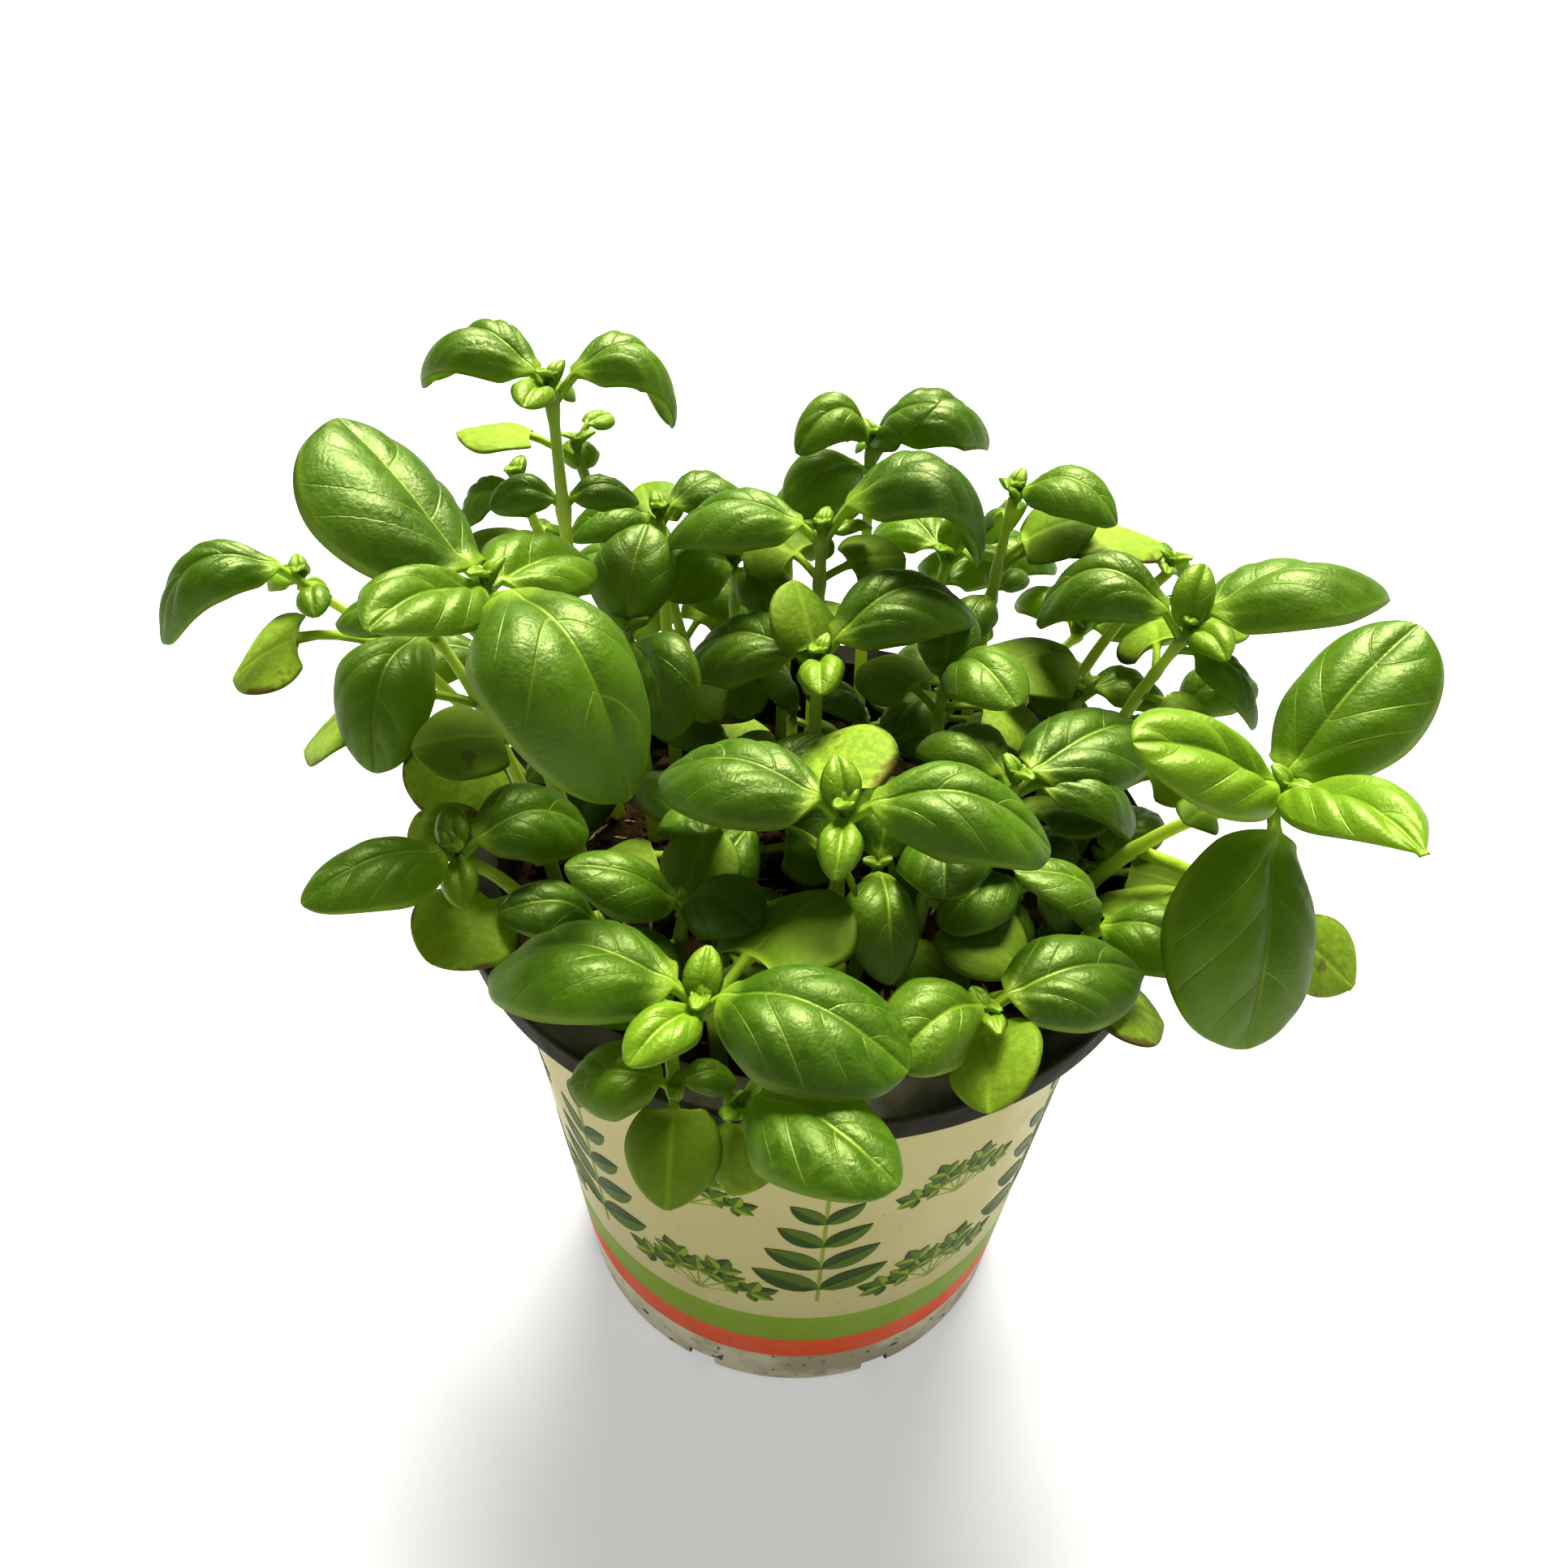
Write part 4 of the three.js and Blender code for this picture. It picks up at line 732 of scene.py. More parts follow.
class Leaf:
    """One closed leaf: a round stalk that flattens into a veined blade and runs on as the rib below it.

    Arrays have a row for each step along the leaf and a column for each point round it, first across the
    underside and then back over the top. Across goes from -1 to 1 between the margins, reach from 0 on the
    midrib to 1 on them, and body from 0 to 1 along the blade. Flat is 0 on the stalk and 1 on the blade.
    """

    def __init__(self, one, base, draw):
        self.one = one
        self.length = one["length"]
        rows, strips = next(size for least, *size in LEAF_GRIDS if self.length >= least)
        stalk = one["stalk"]
        even = (1 - np.cos(math.pi * np.linspace(0.035, 0.985, rows))) / 2
        stalk_rows = np.linspace(0, stalk, STALK_ROWS, endpoint=False)
        along = np.concatenate([stalk_rows, stalk + (1 - stalk) * even, [1]])
        blade = (along - stalk) / (1 - stalk)
        path = midrib_line(one, along, draw)
        self.set_axes(base, path, draw.uniform(-TWIST, TWIST) * np.clip(blade, 0, 1)[:, None])

        strip = np.linspace(-1, 1, strips + 1)
        strip = np.sign(strip) * np.abs(strip) ** 1.12
        self.across = np.concatenate([strip[1:-1], strip[::-1]])
        self.under = np.concatenate([np.ones(strips - 1), np.zeros(strips + 1)])
        self.reach = np.abs(self.across)
        self.body = blade[:-1, None]
        self.on_blade = np.clip(self.body, 0, 1)
        self.to_tip = np.clip(1 - self.body, 0, 1)
        self.flat = ease(self.body / 0.1)
        self.stalk_radius = STALK_RADIUS + STALK_GROWTH * self.length
        widest = one["width"] * self.length
        taper = one["taper"] * draw.uniform(0, 2)
        self.half = np.maximum(widest * outline(one["shape"], taper, self.body) / 2, self.stalk_radius)
        self.curl = one["curl"] * (1 - 0.5 * ease((self.body - 0.5) / 0.5))
        self.turn = self.curl * self.reach
        self.shift = draw.uniform(-UNEVENNESS, UNEVENNESS, 2)
        self.lean = TIP_LEAN * self.shift[0] * self.length
        self.vein = self.vein_count(draw)

    def set_axes(self, base, path, twist):
        """Each row's middle, and its directions ahead, to the side and off the top of the blade."""
        azimuth, rise, bank = (math.radians(self.one[key]) for key in ("azimuth", "rise", "bank"))
        heading = np.array([math.cos(azimuth), math.sin(azimuth), 0.0])
        forward = heading * math.cos(rise) + np.array([0, 0, math.sin(rise)])
        up = -heading * math.sin(rise) + np.array([0, 0, math.cos(rise)])
        side = np.cross(up, forward) * math.cos(bank) + up * math.sin(bank)
        self.centres = base + path[:, :1] * forward + path[:, 1:] * up
        self.ahead = unit(np.gradient(self.centres, axis=0))
        normal = unit(np.cross(self.ahead, side))
        side = np.cross(normal, self.ahead)
        self.side = side * np.cos(twist) + normal * np.sin(twist)
        self.normal = normal * np.cos(twist) - side * np.sin(twist)

    def by_half(self, pair):
        """The first of a pair where across is below 0, and the second on the other half."""
        return np.where(self.across < 0, *pair)

    def vein_count(self, draw):
        """A number that grows by 1 from one side vein to the next, along veins that sweep forward."""
        sweep = 0.78 - 0.4 * self.on_blade
        spacing = VEIN_SPACING * draw.uniform(0.9, 1.2) * self.one["gap"]
        vein = (self.body - VEIN_START - sweep * self.reach**1.4) / spacing + self.by_half(self.shift)
        return vein + 0.12 * np.sin(2.3 * vein + 6 * self.shift[0])

    def aside(self):
        """How far to the side each point lies. The halves differ in width, and the tip leans to one side."""
        curled = np.sign(self.across) * self.half * np.sin(self.turn) / self.curl
        aside = self.across * self.half * (1 - self.flat) + curled * self.flat
        aside = aside * (1 + 0.6 * self.flat * self.by_half(self.shift))
        return aside + self.lean * self.on_blade**2

    def cup(self):
        """The blade rises a little beside the midrib and bends down towards its margins."""
        rise = self.one["puff"] * np.sin(math.pi * self.reach)
        return self.flat * self.half * (rise - (1 - np.cos(self.turn)) / self.curl)

    def quilt(self):
        """Swells between the side veins, which die out at the midrib, the margins and both ends."""
        crease = (np.sqrt(np.sin(math.pi * self.vein) ** 2 + 0.06) - 0.06**0.5) / (1.06**0.5 - 0.06**0.5)
        swell = 1 - (1 - crease) ** 1.8
        spread = np.clip(np.sin(math.pi * self.reach**0.75), 0, 1) ** 0.8
        spread = spread * np.clip(np.sin(math.pi * self.body), 0, 1) ** 0.4
        pillow = self.one["quilt"] * self.half * WIDEST_SWELL / np.maximum(self.half, WIDEST_SWELL)
        return self.flat * pillow * (swell - 0.35) * spread

    def channel(self):
        """The fine groove over the midrib."""
        return self.flat * np.minimum(0.035 * self.half, 0.4) * np.exp(-((self.across / 0.06) ** 2))

    def fold(self):
        """How far the blade folds down along its midrib, most of all near the stalk."""
        fold = self.one["groove"] * self.half * np.exp(-((self.reach / 0.3) ** 2)) * self.to_tip**1.2
        return self.flat * ease(self.body / 0.12) * fold

    def wave(self, draw):
        """The margins sway up and down along the blade, each in its own way."""
        phase = self.by_half(draw.uniform(0, TURN, 2))
        return self.flat * self.half * self.one["sway"] * np.sin(5 * self.body + phase) * self.reach**2

    def brim(self):
        """The margins turn down at their very edge."""
        return self.flat * self.half * 0.1 * np.clip(self.reach - 0.72, 0, 1) ** 1.2

    def thickness(self):
        """Up to the top face or down to the lower one, which has the rib on it."""
        rim = np.sqrt(np.clip(1 - self.reach**6, 0, 1))
        disc = np.sqrt(np.clip(1 - self.reach**2, 0, 1))
        from_rib = self.across * self.half / (0.75 * self.stalk_radius)
        rib = self.stalk_radius * self.to_tip**0.8 * np.exp(-(from_rib**2))
        top = self.flat * BLADE / 2 * rim + (1 - self.flat) * 0.75 * self.stalk_radius * disc
        bottom = self.flat * (BLADE / 2 * rim + rib * 0.8) + (1 - self.flat) * self.stalk_radius * disc
        return np.where(self.under > 0, -bottom, top)

    def rings(self, draw):
        """The points of the skin. Beside the stalk, the foot of the blade reaches back."""
        height = self.cup() + self.quilt() - self.channel() - self.fold() + self.wave(draw) - self.brim()
        height = height + self.thickness()
        lobe = -self.flat * self.one["lobe"] * self.length * self.one["width"]
        lobe = lobe * self.reach**1.6 * self.to_tip**3
        rings = self.centres[:-1, None] + self.aside()[..., None] * self.side[:-1, None]
        rings = rings + height[..., None] * self.normal[:-1, None]
        return rings + lobe[..., None] * self.ahead[:-1, None]

    def end(self):
        """The point that closes the tip."""
        return self.centres[-1] + self.lean * self.side[-2]

    def values(self, draw):
        """What the finishes read at each point."""
        lines = ease((self.vein + 0.4) / 0.2) * ease((0.97 - self.reach) / 0.2)
        lines = lines * ease((0.9 - self.body) / 0.15)
        # A tone given on the leaf is painted light and shade; otherwise the tone is drawn at random.
        tone = draw.uniform()
        fresh = self.one["fresh"]
        if fresh is None:
            fresh = draw.uniform(0, 0.35) + 0.5 * np.exp(-self.length / 9)
        return {
            "along": self.body,
            "across": self.across,
            "vein": self.vein,
            "lines": lines,
            "rib": self.reach * self.half,
            "tone": self.one.get("tone", tone),
            "fresh": fresh,
            "under": self.under,
            "pale": 1 - ease((self.body + 0.02) / 0.16),
        }


def bud_leaves(plant):
    """The growing tip: two crossed pairs of tiny leaves that stand up between the youngest pair."""
    turn = plant["leaves"][0]["azimuth"] + 90
    size = LOW_BUD if plant["tip"][2] < LOW_PLANT else HIGH_BUD
    return [
        bud(turn, 58, size),
        bud(turn + 180, 52, size),
        bud(turn + 90, 74, size * 0.7),
        bud(turn - 90, 70, size * 0.7),
    ]


def make_plant(plant, draw, materials):
    skin = Skin()
    stem_skin(skin, plant, draw.uniform())
    for one in plant["leaves"] + bud_leaves(plant):
        form = Leaf(one, stem_axis(plant, one["node"])[0], draw)
        skin.tube(form.rings(draw), one["slot"], form.end(), **form.values(draw))
    name = plant["name"] + "_fine"
    add_piece(name, skin.mesh(name), materials, "foliage", plant["name"])


# Finishes


class Graph:
    """A material's nodes, with short calls for the few kinds that the finishes use."""

    def __init__(self, name):
        self.material = bpy.data.materials.new(name)
        self.material.use_nodes = True
        self.tree = self.material.node_tree
        self.tree.nodes.clear()
        self.output = self.tree.nodes.new("ShaderNodeOutputMaterial")

    def set(self, socket, value):
        if isinstance(value, bpy.types.NodeSocket):
            self.tree.links.new(value, socket)
        elif isinstance(value, tuple) and len(value) == 3 and socket.type == "RGBA":
            socket.default_value = (*value, 1)
        else:
            socket.default_value = value

    def node(self, kind, inputs, output=0, **settings):
        """A node whose inputs are given by name or number. Gives one of its outputs."""
        node = self.tree.nodes.new("ShaderNode" + kind)
        for name, value in settings.items():
            setattr(node, name, value)
        for key, value in inputs.items():
            self.set(node.inputs[key], value)
        return node.outputs[output]

    def value(self, name):
        """A point's named value on the mesh."""
        return self.node("Attribute", {}, 2, attribute_name=name, attribute_type="GEOMETRY")

    def math(self, operation, a, b=0, clamp=False):
        return self.node("Math", {0: a, 1: b}, operation=operation, use_clamp=clamp)

    def plus(self, a, b, clamp=False):
        return self.math("ADD", a, b, clamp)

    def minus(self, a, b):
        return self.math("SUBTRACT", a, b)

    def times(self, a, b):
        return self.math("MULTIPLY", a, b)

    def larger(self, a, b):
        return self.math("MAXIMUM", a, b)

    def size(self, a):
        return self.math("ABSOLUTE", a)

    def span(self, value, low, high, to_low=0, to_high=1):
        """Maps low..high smoothly to to_low..to_high."""
        inputs = dict(enumerate((value, low, high, to_low, to_high)))
        return self.node("MapRange", inputs, interpolation_type="SMOOTHSTEP")

    def mix(self, share, a, b, most=1):
        """From colour `a` to `b` by a share of 0 to 1, but at most so far."""
        if most < 1:
            share = self.times(share, most)
        return self.node("Mix", {0: share, 6: a, 7: b}, 2, data_type="RGBA")

    def place(self):
        """The point's place in the part's frame, in metres."""
        return self.node("TexCoord", {}, 3)

    def noise(self, scale, detail=3, roughness=0.55):
        given = {"Vector": self.place(), "Scale": scale, "Detail": detail, "Roughness": roughness}
        return self.node("TexNoise", given)

    def spots(self, scale, detail, low, high, to_low=0, to_high=1):
        """Noise, of which low..high is mapped smoothly to to_low..to_high."""
        return self.span(self.noise(scale, detail), low, high, to_low, to_high)

    def bump(self, height, distance, strength):
        return self.node("Bump", {"Height": height, "Distance": distance, "Strength": strength})

    def surface(self, colour, rough, relief, specular=0.5, **more):
        given = {"Base Color": colour, "Roughness": rough, "Normal": relief, "Specular IOR Level": specular}
        return self.node("BsdfPrincipled", given | more)

    def finish(self, shader):
        self.tree.links.new(shader, self.output.inputs["Surface"])
        return self.material

    def finish_lit_through(self, surface, glow, relief, share):
        """A share of the light comes through in the colour `glow`."""
        back = self.node("BsdfTranslucent", {"Color": glow, "Normal": relief})
        return self.finish(self.node("MixShader", {0: share, 1: surface, 2: back}))


def vein_lines(graph):
    """1 on the midrib and less on the side veins, fading out along the blade."""
    turn = graph.math("FRACT", graph.plus(graph.value("vein"), 0.5))
    near = graph.size(graph.minus(turn, 0.5))
    side = graph.times(graph.span(near, 0, 0.045, 0.7, 0), graph.value("lines"))
    middle = graph.span(graph.value("rib"), 0.12, 0.5, 1, 0)
    middle = graph.times(middle, graph.span(graph.value("along"), 0.5, 1, 1, 0.25))
    return graph.larger(middle, side)


def leaf_material():
    """A glossy blade: greens by tone, painted light and shade, age and patches, pale veins, margins painted
    as rim light, a paler underside and light through it.
    """
    graph = Graph("leaf")
    middling = graph.noise(380, 2)
    grain = graph.noise(1500, 1)
    net = graph.span(graph.size(graph.minus(middling, 0.5)), 0, 0.05, 0.16, 0)
    patches = graph.times(graph.spots(55, 2, 0.35, 0.7), 0.35)
    # The green follows the tone, which on some leaves is painted light and shade, and random patches.
    tone = graph.plus(graph.times(graph.value("tone"), 0.45), patches)
    tone = graph.plus(tone, graph.times(graph.span(middling, 0.3, 0.7), 0.2), clamp=True)
    colour = graph.mix(tone, LEAF_DEEP, LEAF_LIGHT)
    colour = graph.mix(graph.value("fresh"), colour, LEAF_FRESH, 0.85)
    lines = vein_lines(graph)
    veins = graph.larger(lines, net)
    # The margins are painted a paler, yellower green: painted rim light where light from behind catches them.
    edge = graph.span(graph.size(graph.value("across")), 0.86, 1, 0, 0.45)
    strong = graph.spots(90, 1, 0.35, 0.65, 0.15, 0.6)
    colour = graph.mix(graph.larger(edge, graph.times(veins, strong)), colour, VEIN_AND_LIT_MARGIN_GREEN)
    colour = graph.mix(graph.value("pale"), colour, STALK_GREEN, 0.8)
    colour = graph.mix(graph.value("under"), colour, UNDERSIDE_GREEN, 0.4)
    height = graph.plus(graph.times(middling, 0.4), graph.times(grain, 0.32))
    relief = graph.bump(graph.minus(height, graph.times(lines, 0.5)), 0.0007, 0.45)
    rough = graph.span(middling, 0.3, 0.7, 0.4, 0.54)
    surface = graph.surface(colour, rough, relief, 0.9, **{"Specular Tint": LEAF_SHEEN})
    glow = graph.mix(veins, LEAF_GLOW, VEIN_AND_LIT_MARGIN_GREEN, 0.3)
    # The light through the blade is lighter with the tone, so it carries the painted light and shade too.
    glow = graph.mix(tone, glow, LEAF_GLOW_LIGHT, 0.5)
    return graph.finish_lit_through(surface, glow, relief, 0.38)


def seed_leaf_material():
    """A matter, olive to pale blade with speckles, and brown edges on seed leaves that begin to wither."""
    graph = Graph("seed_leaf")
    tone = graph.plus(graph.times(graph.value("tone"), 0.7), graph.times(graph.spots(70, 2, 0.35, 0.7), 0.3))
    colour = graph.mix(tone, SEED_DEEP, SEED_LIGHT)
    speckles = graph.noise(850, 2)
    colour = graph.mix(graph.span(speckles, 0.42, 0.62, 0.35, 0), colour, SEED_DEEP)
    colour = graph.mix(graph.span(graph.value("rib"), 0.1, 0.7, 0.4, 0), colour, STALK_GREEN)
    blotches = graph.noise(170, 3)
    edge = graph.span(graph.plus(graph.size(graph.value("across")), blotches), 1.36, 1.5)
    edge = graph.times(edge, graph.span(graph.value("tone"), 0.55, 0.8))
    edge = graph.larger(edge, graph.times(graph.span(blotches, 0.68, 0.73), 0.7))
    colour = graph.mix(edge, colour, WITHERED, 0.8)
    colour = graph.mix(graph.value("pale"), colour, STALK_GREEN, 0.8)
    colour = graph.mix(graph.value("under"), colour, UNDERSIDE_GREEN, 0.3)
    relief = graph.bump(speckles, 0.0004, 0.35)
    surface = graph.surface(colour, 0.6, relief, 0.35, **{"Specular Tint": LEAF_SHEEN})
    glow = graph.mix(edge, SEED_GLOW, WITHERED, 0.8)
    return graph.finish_lit_through(surface, glow, relief, 0.32)


def stem_material():
    """Pale juicy green, a little deeper at the foot, which lets some light through."""
    graph = Graph("stem")
    colour = graph.mix(graph.spots(140, 2, 0.3, 0.7), STEM_DEEP, STEM_LIGHT)
    colour = graph.mix(graph.span(graph.value("along"), 0, 0.3, 0.35, 0), colour, STEM_FOOT)
    relief = graph.bump(graph.noise(700, 2), 0.0002, 0.4)
    return graph.finish_lit_through(graph.surface(colour, 0.42, relief), STEM_GLOW, relief, 0.35)


def print_material(name, colour):
    """Ink on the pot, with faint smudges and specks."""
    graph = Graph(name)
    shaded = tuple(part * 0.8 for part in colour)
    tint = graph.mix(graph.spots(35, 3, 0.35, 0.75), colour, shaded, 0.5)
    tint = graph.mix(graph.spots(650, 2, 0.66, 0.74), tint, SOIL_STAIN, 0.3)
    rough = graph.spots(90, 3, 0.3, 0.7, 0.42, 0.55)
    relief = graph.bump(graph.noise(240, 2), 0.0001, 0.3)
    return graph.finish(graph.surface(tint, rough, relief, 0.12))


def sleeve_material():
    """The printed sleeve: bands by height, above a bare strip at its foot, with splashes of soil."""
    graph = Graph("pot_sleeve")
    height = graph.times(graph.node("SeparateXYZ", {"Vector": graph.place()}, 2), 1 / MM)
    ragged = graph.plus(height, graph.times(graph.minus(graph.noise(900), 0.5), 0.35))

    def above(level, lower, upper):
        return graph.mix(graph.span(ragged, level - BAND_STEP, level + BAND_STEP), lower, upper)

    paper = graph.mix(graph.spots(28, 3, 0.3, 0.75), SLEEVE_CREAM, SLEEVE_SHADE)
    bare = graph.mix(graph.spots(60, 5, 0.42, 0.62), BARE_PLASTIC, BARE_DIRTY)
    bare = graph.mix(graph.spots(380, 4, 0.62, 0.7), bare, SOIL_STAIN)
    colour = above(GREEN_TOP, BAND_GREEN, paper)
    colour = above(ORANGE_TOP, BAND_ORANGE, colour)
    colour = above(SLEEVE_BOTTOM, bare, colour)
    colour = graph.mix(graph.spots(520, 3, 0.67, 0.74), colour, SOIL_STAIN, 0.35)
    rough = graph.spots(70, 3, 0.3, 0.7, 0.36, 0.52)
    relief = graph.bump(graph.noise(180, 2), 0.00015, 0.35)
    return graph.finish(graph.surface(colour, rough, relief, 0.1))


def rim_material():
    """Dark olive-grey plastic with dust and grains of soil."""
    graph = Graph("pot_plastic")
    colour = graph.mix(graph.spots(120, 5, 0.4, 0.75), RIM_DARK, RIM_LIGHT)
    colour = graph.mix(graph.spots(700, 2, 0.62, 0.7), colour, SOIL_DARK, 0.5)
    rough = graph.spots(200, 3, 0.3, 0.7, 0.55, 0.7)
    relief = graph.bump(graph.noise(420, 3), 0.0002, 0.4)
    return graph.finish(graph.surface(colour, rough, relief, 0.12))


def soil_material(name, dark, light, rough):
    graph = Graph(name)
    clumps = graph.span(graph.noise(160, 5, 0.65), 0.35, 0.7)
    fine = graph.span(graph.noise(1100, 3, 0.7), 0.45, 0.75)
    colour = graph.mix(fine, graph.mix(clumps, dark, light), SOIL_FLECK, 0.5)
    relief = graph.bump(graph.noise(520, 6, 0.7), 0.0012, 0.8)
    return graph.finish(graph.surface(colour, rough, relief, 0.1))


def straw_material():
    graph = Graph("straw")
    fibres = graph.noise(900, 3)
    colour = graph.mix(graph.span(fibres, 0.3, 0.7), STRAW_DARK, STRAW_LIGHT)
    return graph.finish(graph.surface(colour, 0.7, graph.bump(fibres, 0.0003, 0.6)))


def floor_material():
    graph = Graph("floor")
    tint = graph.mix(graph.spots(3, 3, 0.3, 0.7), FLOOR_SHADE, FLOOR_PALE)
    relief = graph.bump(graph.noise(180, 3), 0.0003, 0.1)
    glow = {"Emission Color": FLOOR_GLOW, "Emission Strength": 0.5}
    return graph.finish(graph.surface(tint, 0.7, relief, **glow))


# Pot


def outer_radius(height):
    return BASE_RADIUS + (BODY_TOP_RADIUS - BASE_RADIUS) * height / LIP_BOTTOM


def ring(shape, radius, steps, height_at):
    """A circle of points about the upright axis, each as high as `height_at` says for its (x, y)."""
    angles = np.arange(steps) * TURN / steps
    spots = [(radius * math.cos(angle), radius * math.sin(angle)) for angle in angles]
    return [shape.verts.new((x * MM, y * MM, height_at(x, y) * MM)) for x, y in spots]


def rounded(profile):
    """Rounds each corner between the two ends of the profile."""
    line = [profile[0]]
    for before, corner, after in zip(profile, profile[1:], profile[2:]):
        corner = np.array(corner, float)
        to_before, to_after = np.array(before) - corner, np.array(after) - corner
        cut = min(CORNER_RADIUS, min(np.linalg.norm(to_before), np.linalg.norm(to_after)) * 0.45)
        start, end = corner + unit(to_before) * cut, corner + unit(to_after) * cut
        for share in np.linspace(0, 1, CORNER_STEPS + 1):
            line.append(tuple((1 - share) ** 2 * start + 2 * share * (1 - share) * corner + share**2 * end))
    line.append(profile[-1])
    return line


def pot_profile():
    """As in the part, from the middle of the underside round the lip and down to the middle of the floor."""
    flange = POT_HEIGHT - LIP_THICKNESS
    skirt = RIM_RADIUS - LIP_THICKNESS
    mouth = BODY_TOP_RADIUS - WALL
    return [
        (0, 0),
        (outer_radius(0) - EDGE, 0),
        (outer_radius(EDGE), EDGE),
        (BODY_TOP_RADIUS, LIP_BOTTOM),
        (BODY_TOP_RADIUS, flange),
        (skirt, flange),
        (skirt, LIP_BOTTOM),
        (RIM_RADIUS - LIP_DRAFT, LIP_BOTTOM),
        (RIM_RADIUS, POT_HEIGHT - EDGE),
        (RIM_RADIUS - EDGE, POT_HEIGHT),
        (mouth + MOUTH_EDGE, POT_HEIGHT),
        (mouth, POT_HEIGHT - MOUTH_EDGE),
        (mouth, LIP_BOTTOM),
        (outer_radius(FLOOR) - WALL, FLOOR),
        (0, FLOOR),
    ]


def lathe(name, profile):
    """Revolves a profile of (radius, height) about the upright axis into one closed skin."""
    shape = bmesh.new()
    rings = []
    for radius, height in profile:
        rings.append(ring(shape, radius, ROUND_STEPS if radius else 1, lambda x, y: height))
    for low, high in zip(rings, rings[1:]):
        for k in range(ROUND_STEPS):
            after = (k + 1) % ROUND_STEPS
            corners = [low[k % len(low)], low[after % len(low)], high[after % len(high)], high[k % len(high)]]
            shape.faces.new(list(dict.fromkeys(corners)))
    return mesh_from(shape, name)


def radial_boxes(start, end, width, bottom, top):
    """One box for each channel, from radius `start` to `end`."""
    shape = bmesh.new()
    middle = Matrix.Translation(((start + end) / 2 * MM, 0, (bottom + top) / 2 * MM))
    size = Matrix.Diagonal(((end - start) * MM, width * MM, (top - bottom) * MM, 1))
    for i in range(CHANNELS):
        turn = Matrix.Rotation((i + 0.5) / CHANNELS * TURN, 4, "Z")
        bmesh.ops.create_cube(shape, size=1, matrix=turn @ middle @ size)
    return mesh_from(shape, "cutter", smooth=False, outward=False)


def combined(mesh, steps):
    """Applies one boolean after another and gives the resulting mesh."""
    body = linked("body", mesh, [])
    for operation, tool_mesh in steps:
        tool = linked("tool", tool_mesh, [])
        change = body.modifiers.new("change", "BOOLEAN")
        change.operation = operation
        change.solver = "MANIFOLD"
        change.object = tool
        bpy.context.view_layer.update()
        result = bpy.data.meshes.new_from_object(body.evaluated_get(bpy.context.evaluated_depsgraph_get()))
        body.modifiers.clear()
        body.data = result
        bpy.data.objects.remove(tool)
    bpy.data.objects.remove(body)
    result.materials.clear()
    return result


def make_pot(sleeve, plastic):
    """The wall's upright outside is the sleeve, and all the rest is bare plastic."""
    height, skin, width, start = (CHANNEL[key] for key in ("height", "skin", "width", "start"))
    hump_top = height + skin
    humps = radial_boxes(start - skin, BASE_RADIUS - WALL / 2, width + 2 * skin, FLOOR / 2, hump_top)
    channels = radial_boxes(start, BASE_RADIUS + PAST, width, -PAST, height)
    slots = radial_boxes(SLOT["start"], SLOT["end"], SLOT["width"], height - PAST, hump_top + PAST)
    mesh = lathe("pot_fine", rounded(pot_profile()))
    mesh = combined(mesh, [("UNION", humps), ("DIFFERENCE", channels), ("DIFFERENCE", slots)])
    mesh.name = "pot_fine"
    for face in mesh.polygons:
        x, y, z = face.center / MM
        outside = math.hypot(x, y) > outer_radius(z) - 0.4 and z < LIP_BOTTOM - 0.3
        face.material_index = 0 if outside and abs(face.normal.z) < 0.5 else 1
        face.use_smooth = True
    mesh.set_sharp_from_angle(angle=math.radians(SHARP_EDGE))
    add_piece("pot_fine", mesh, [sleeve, plastic], "pot", "pot")


# Print on the sleeve


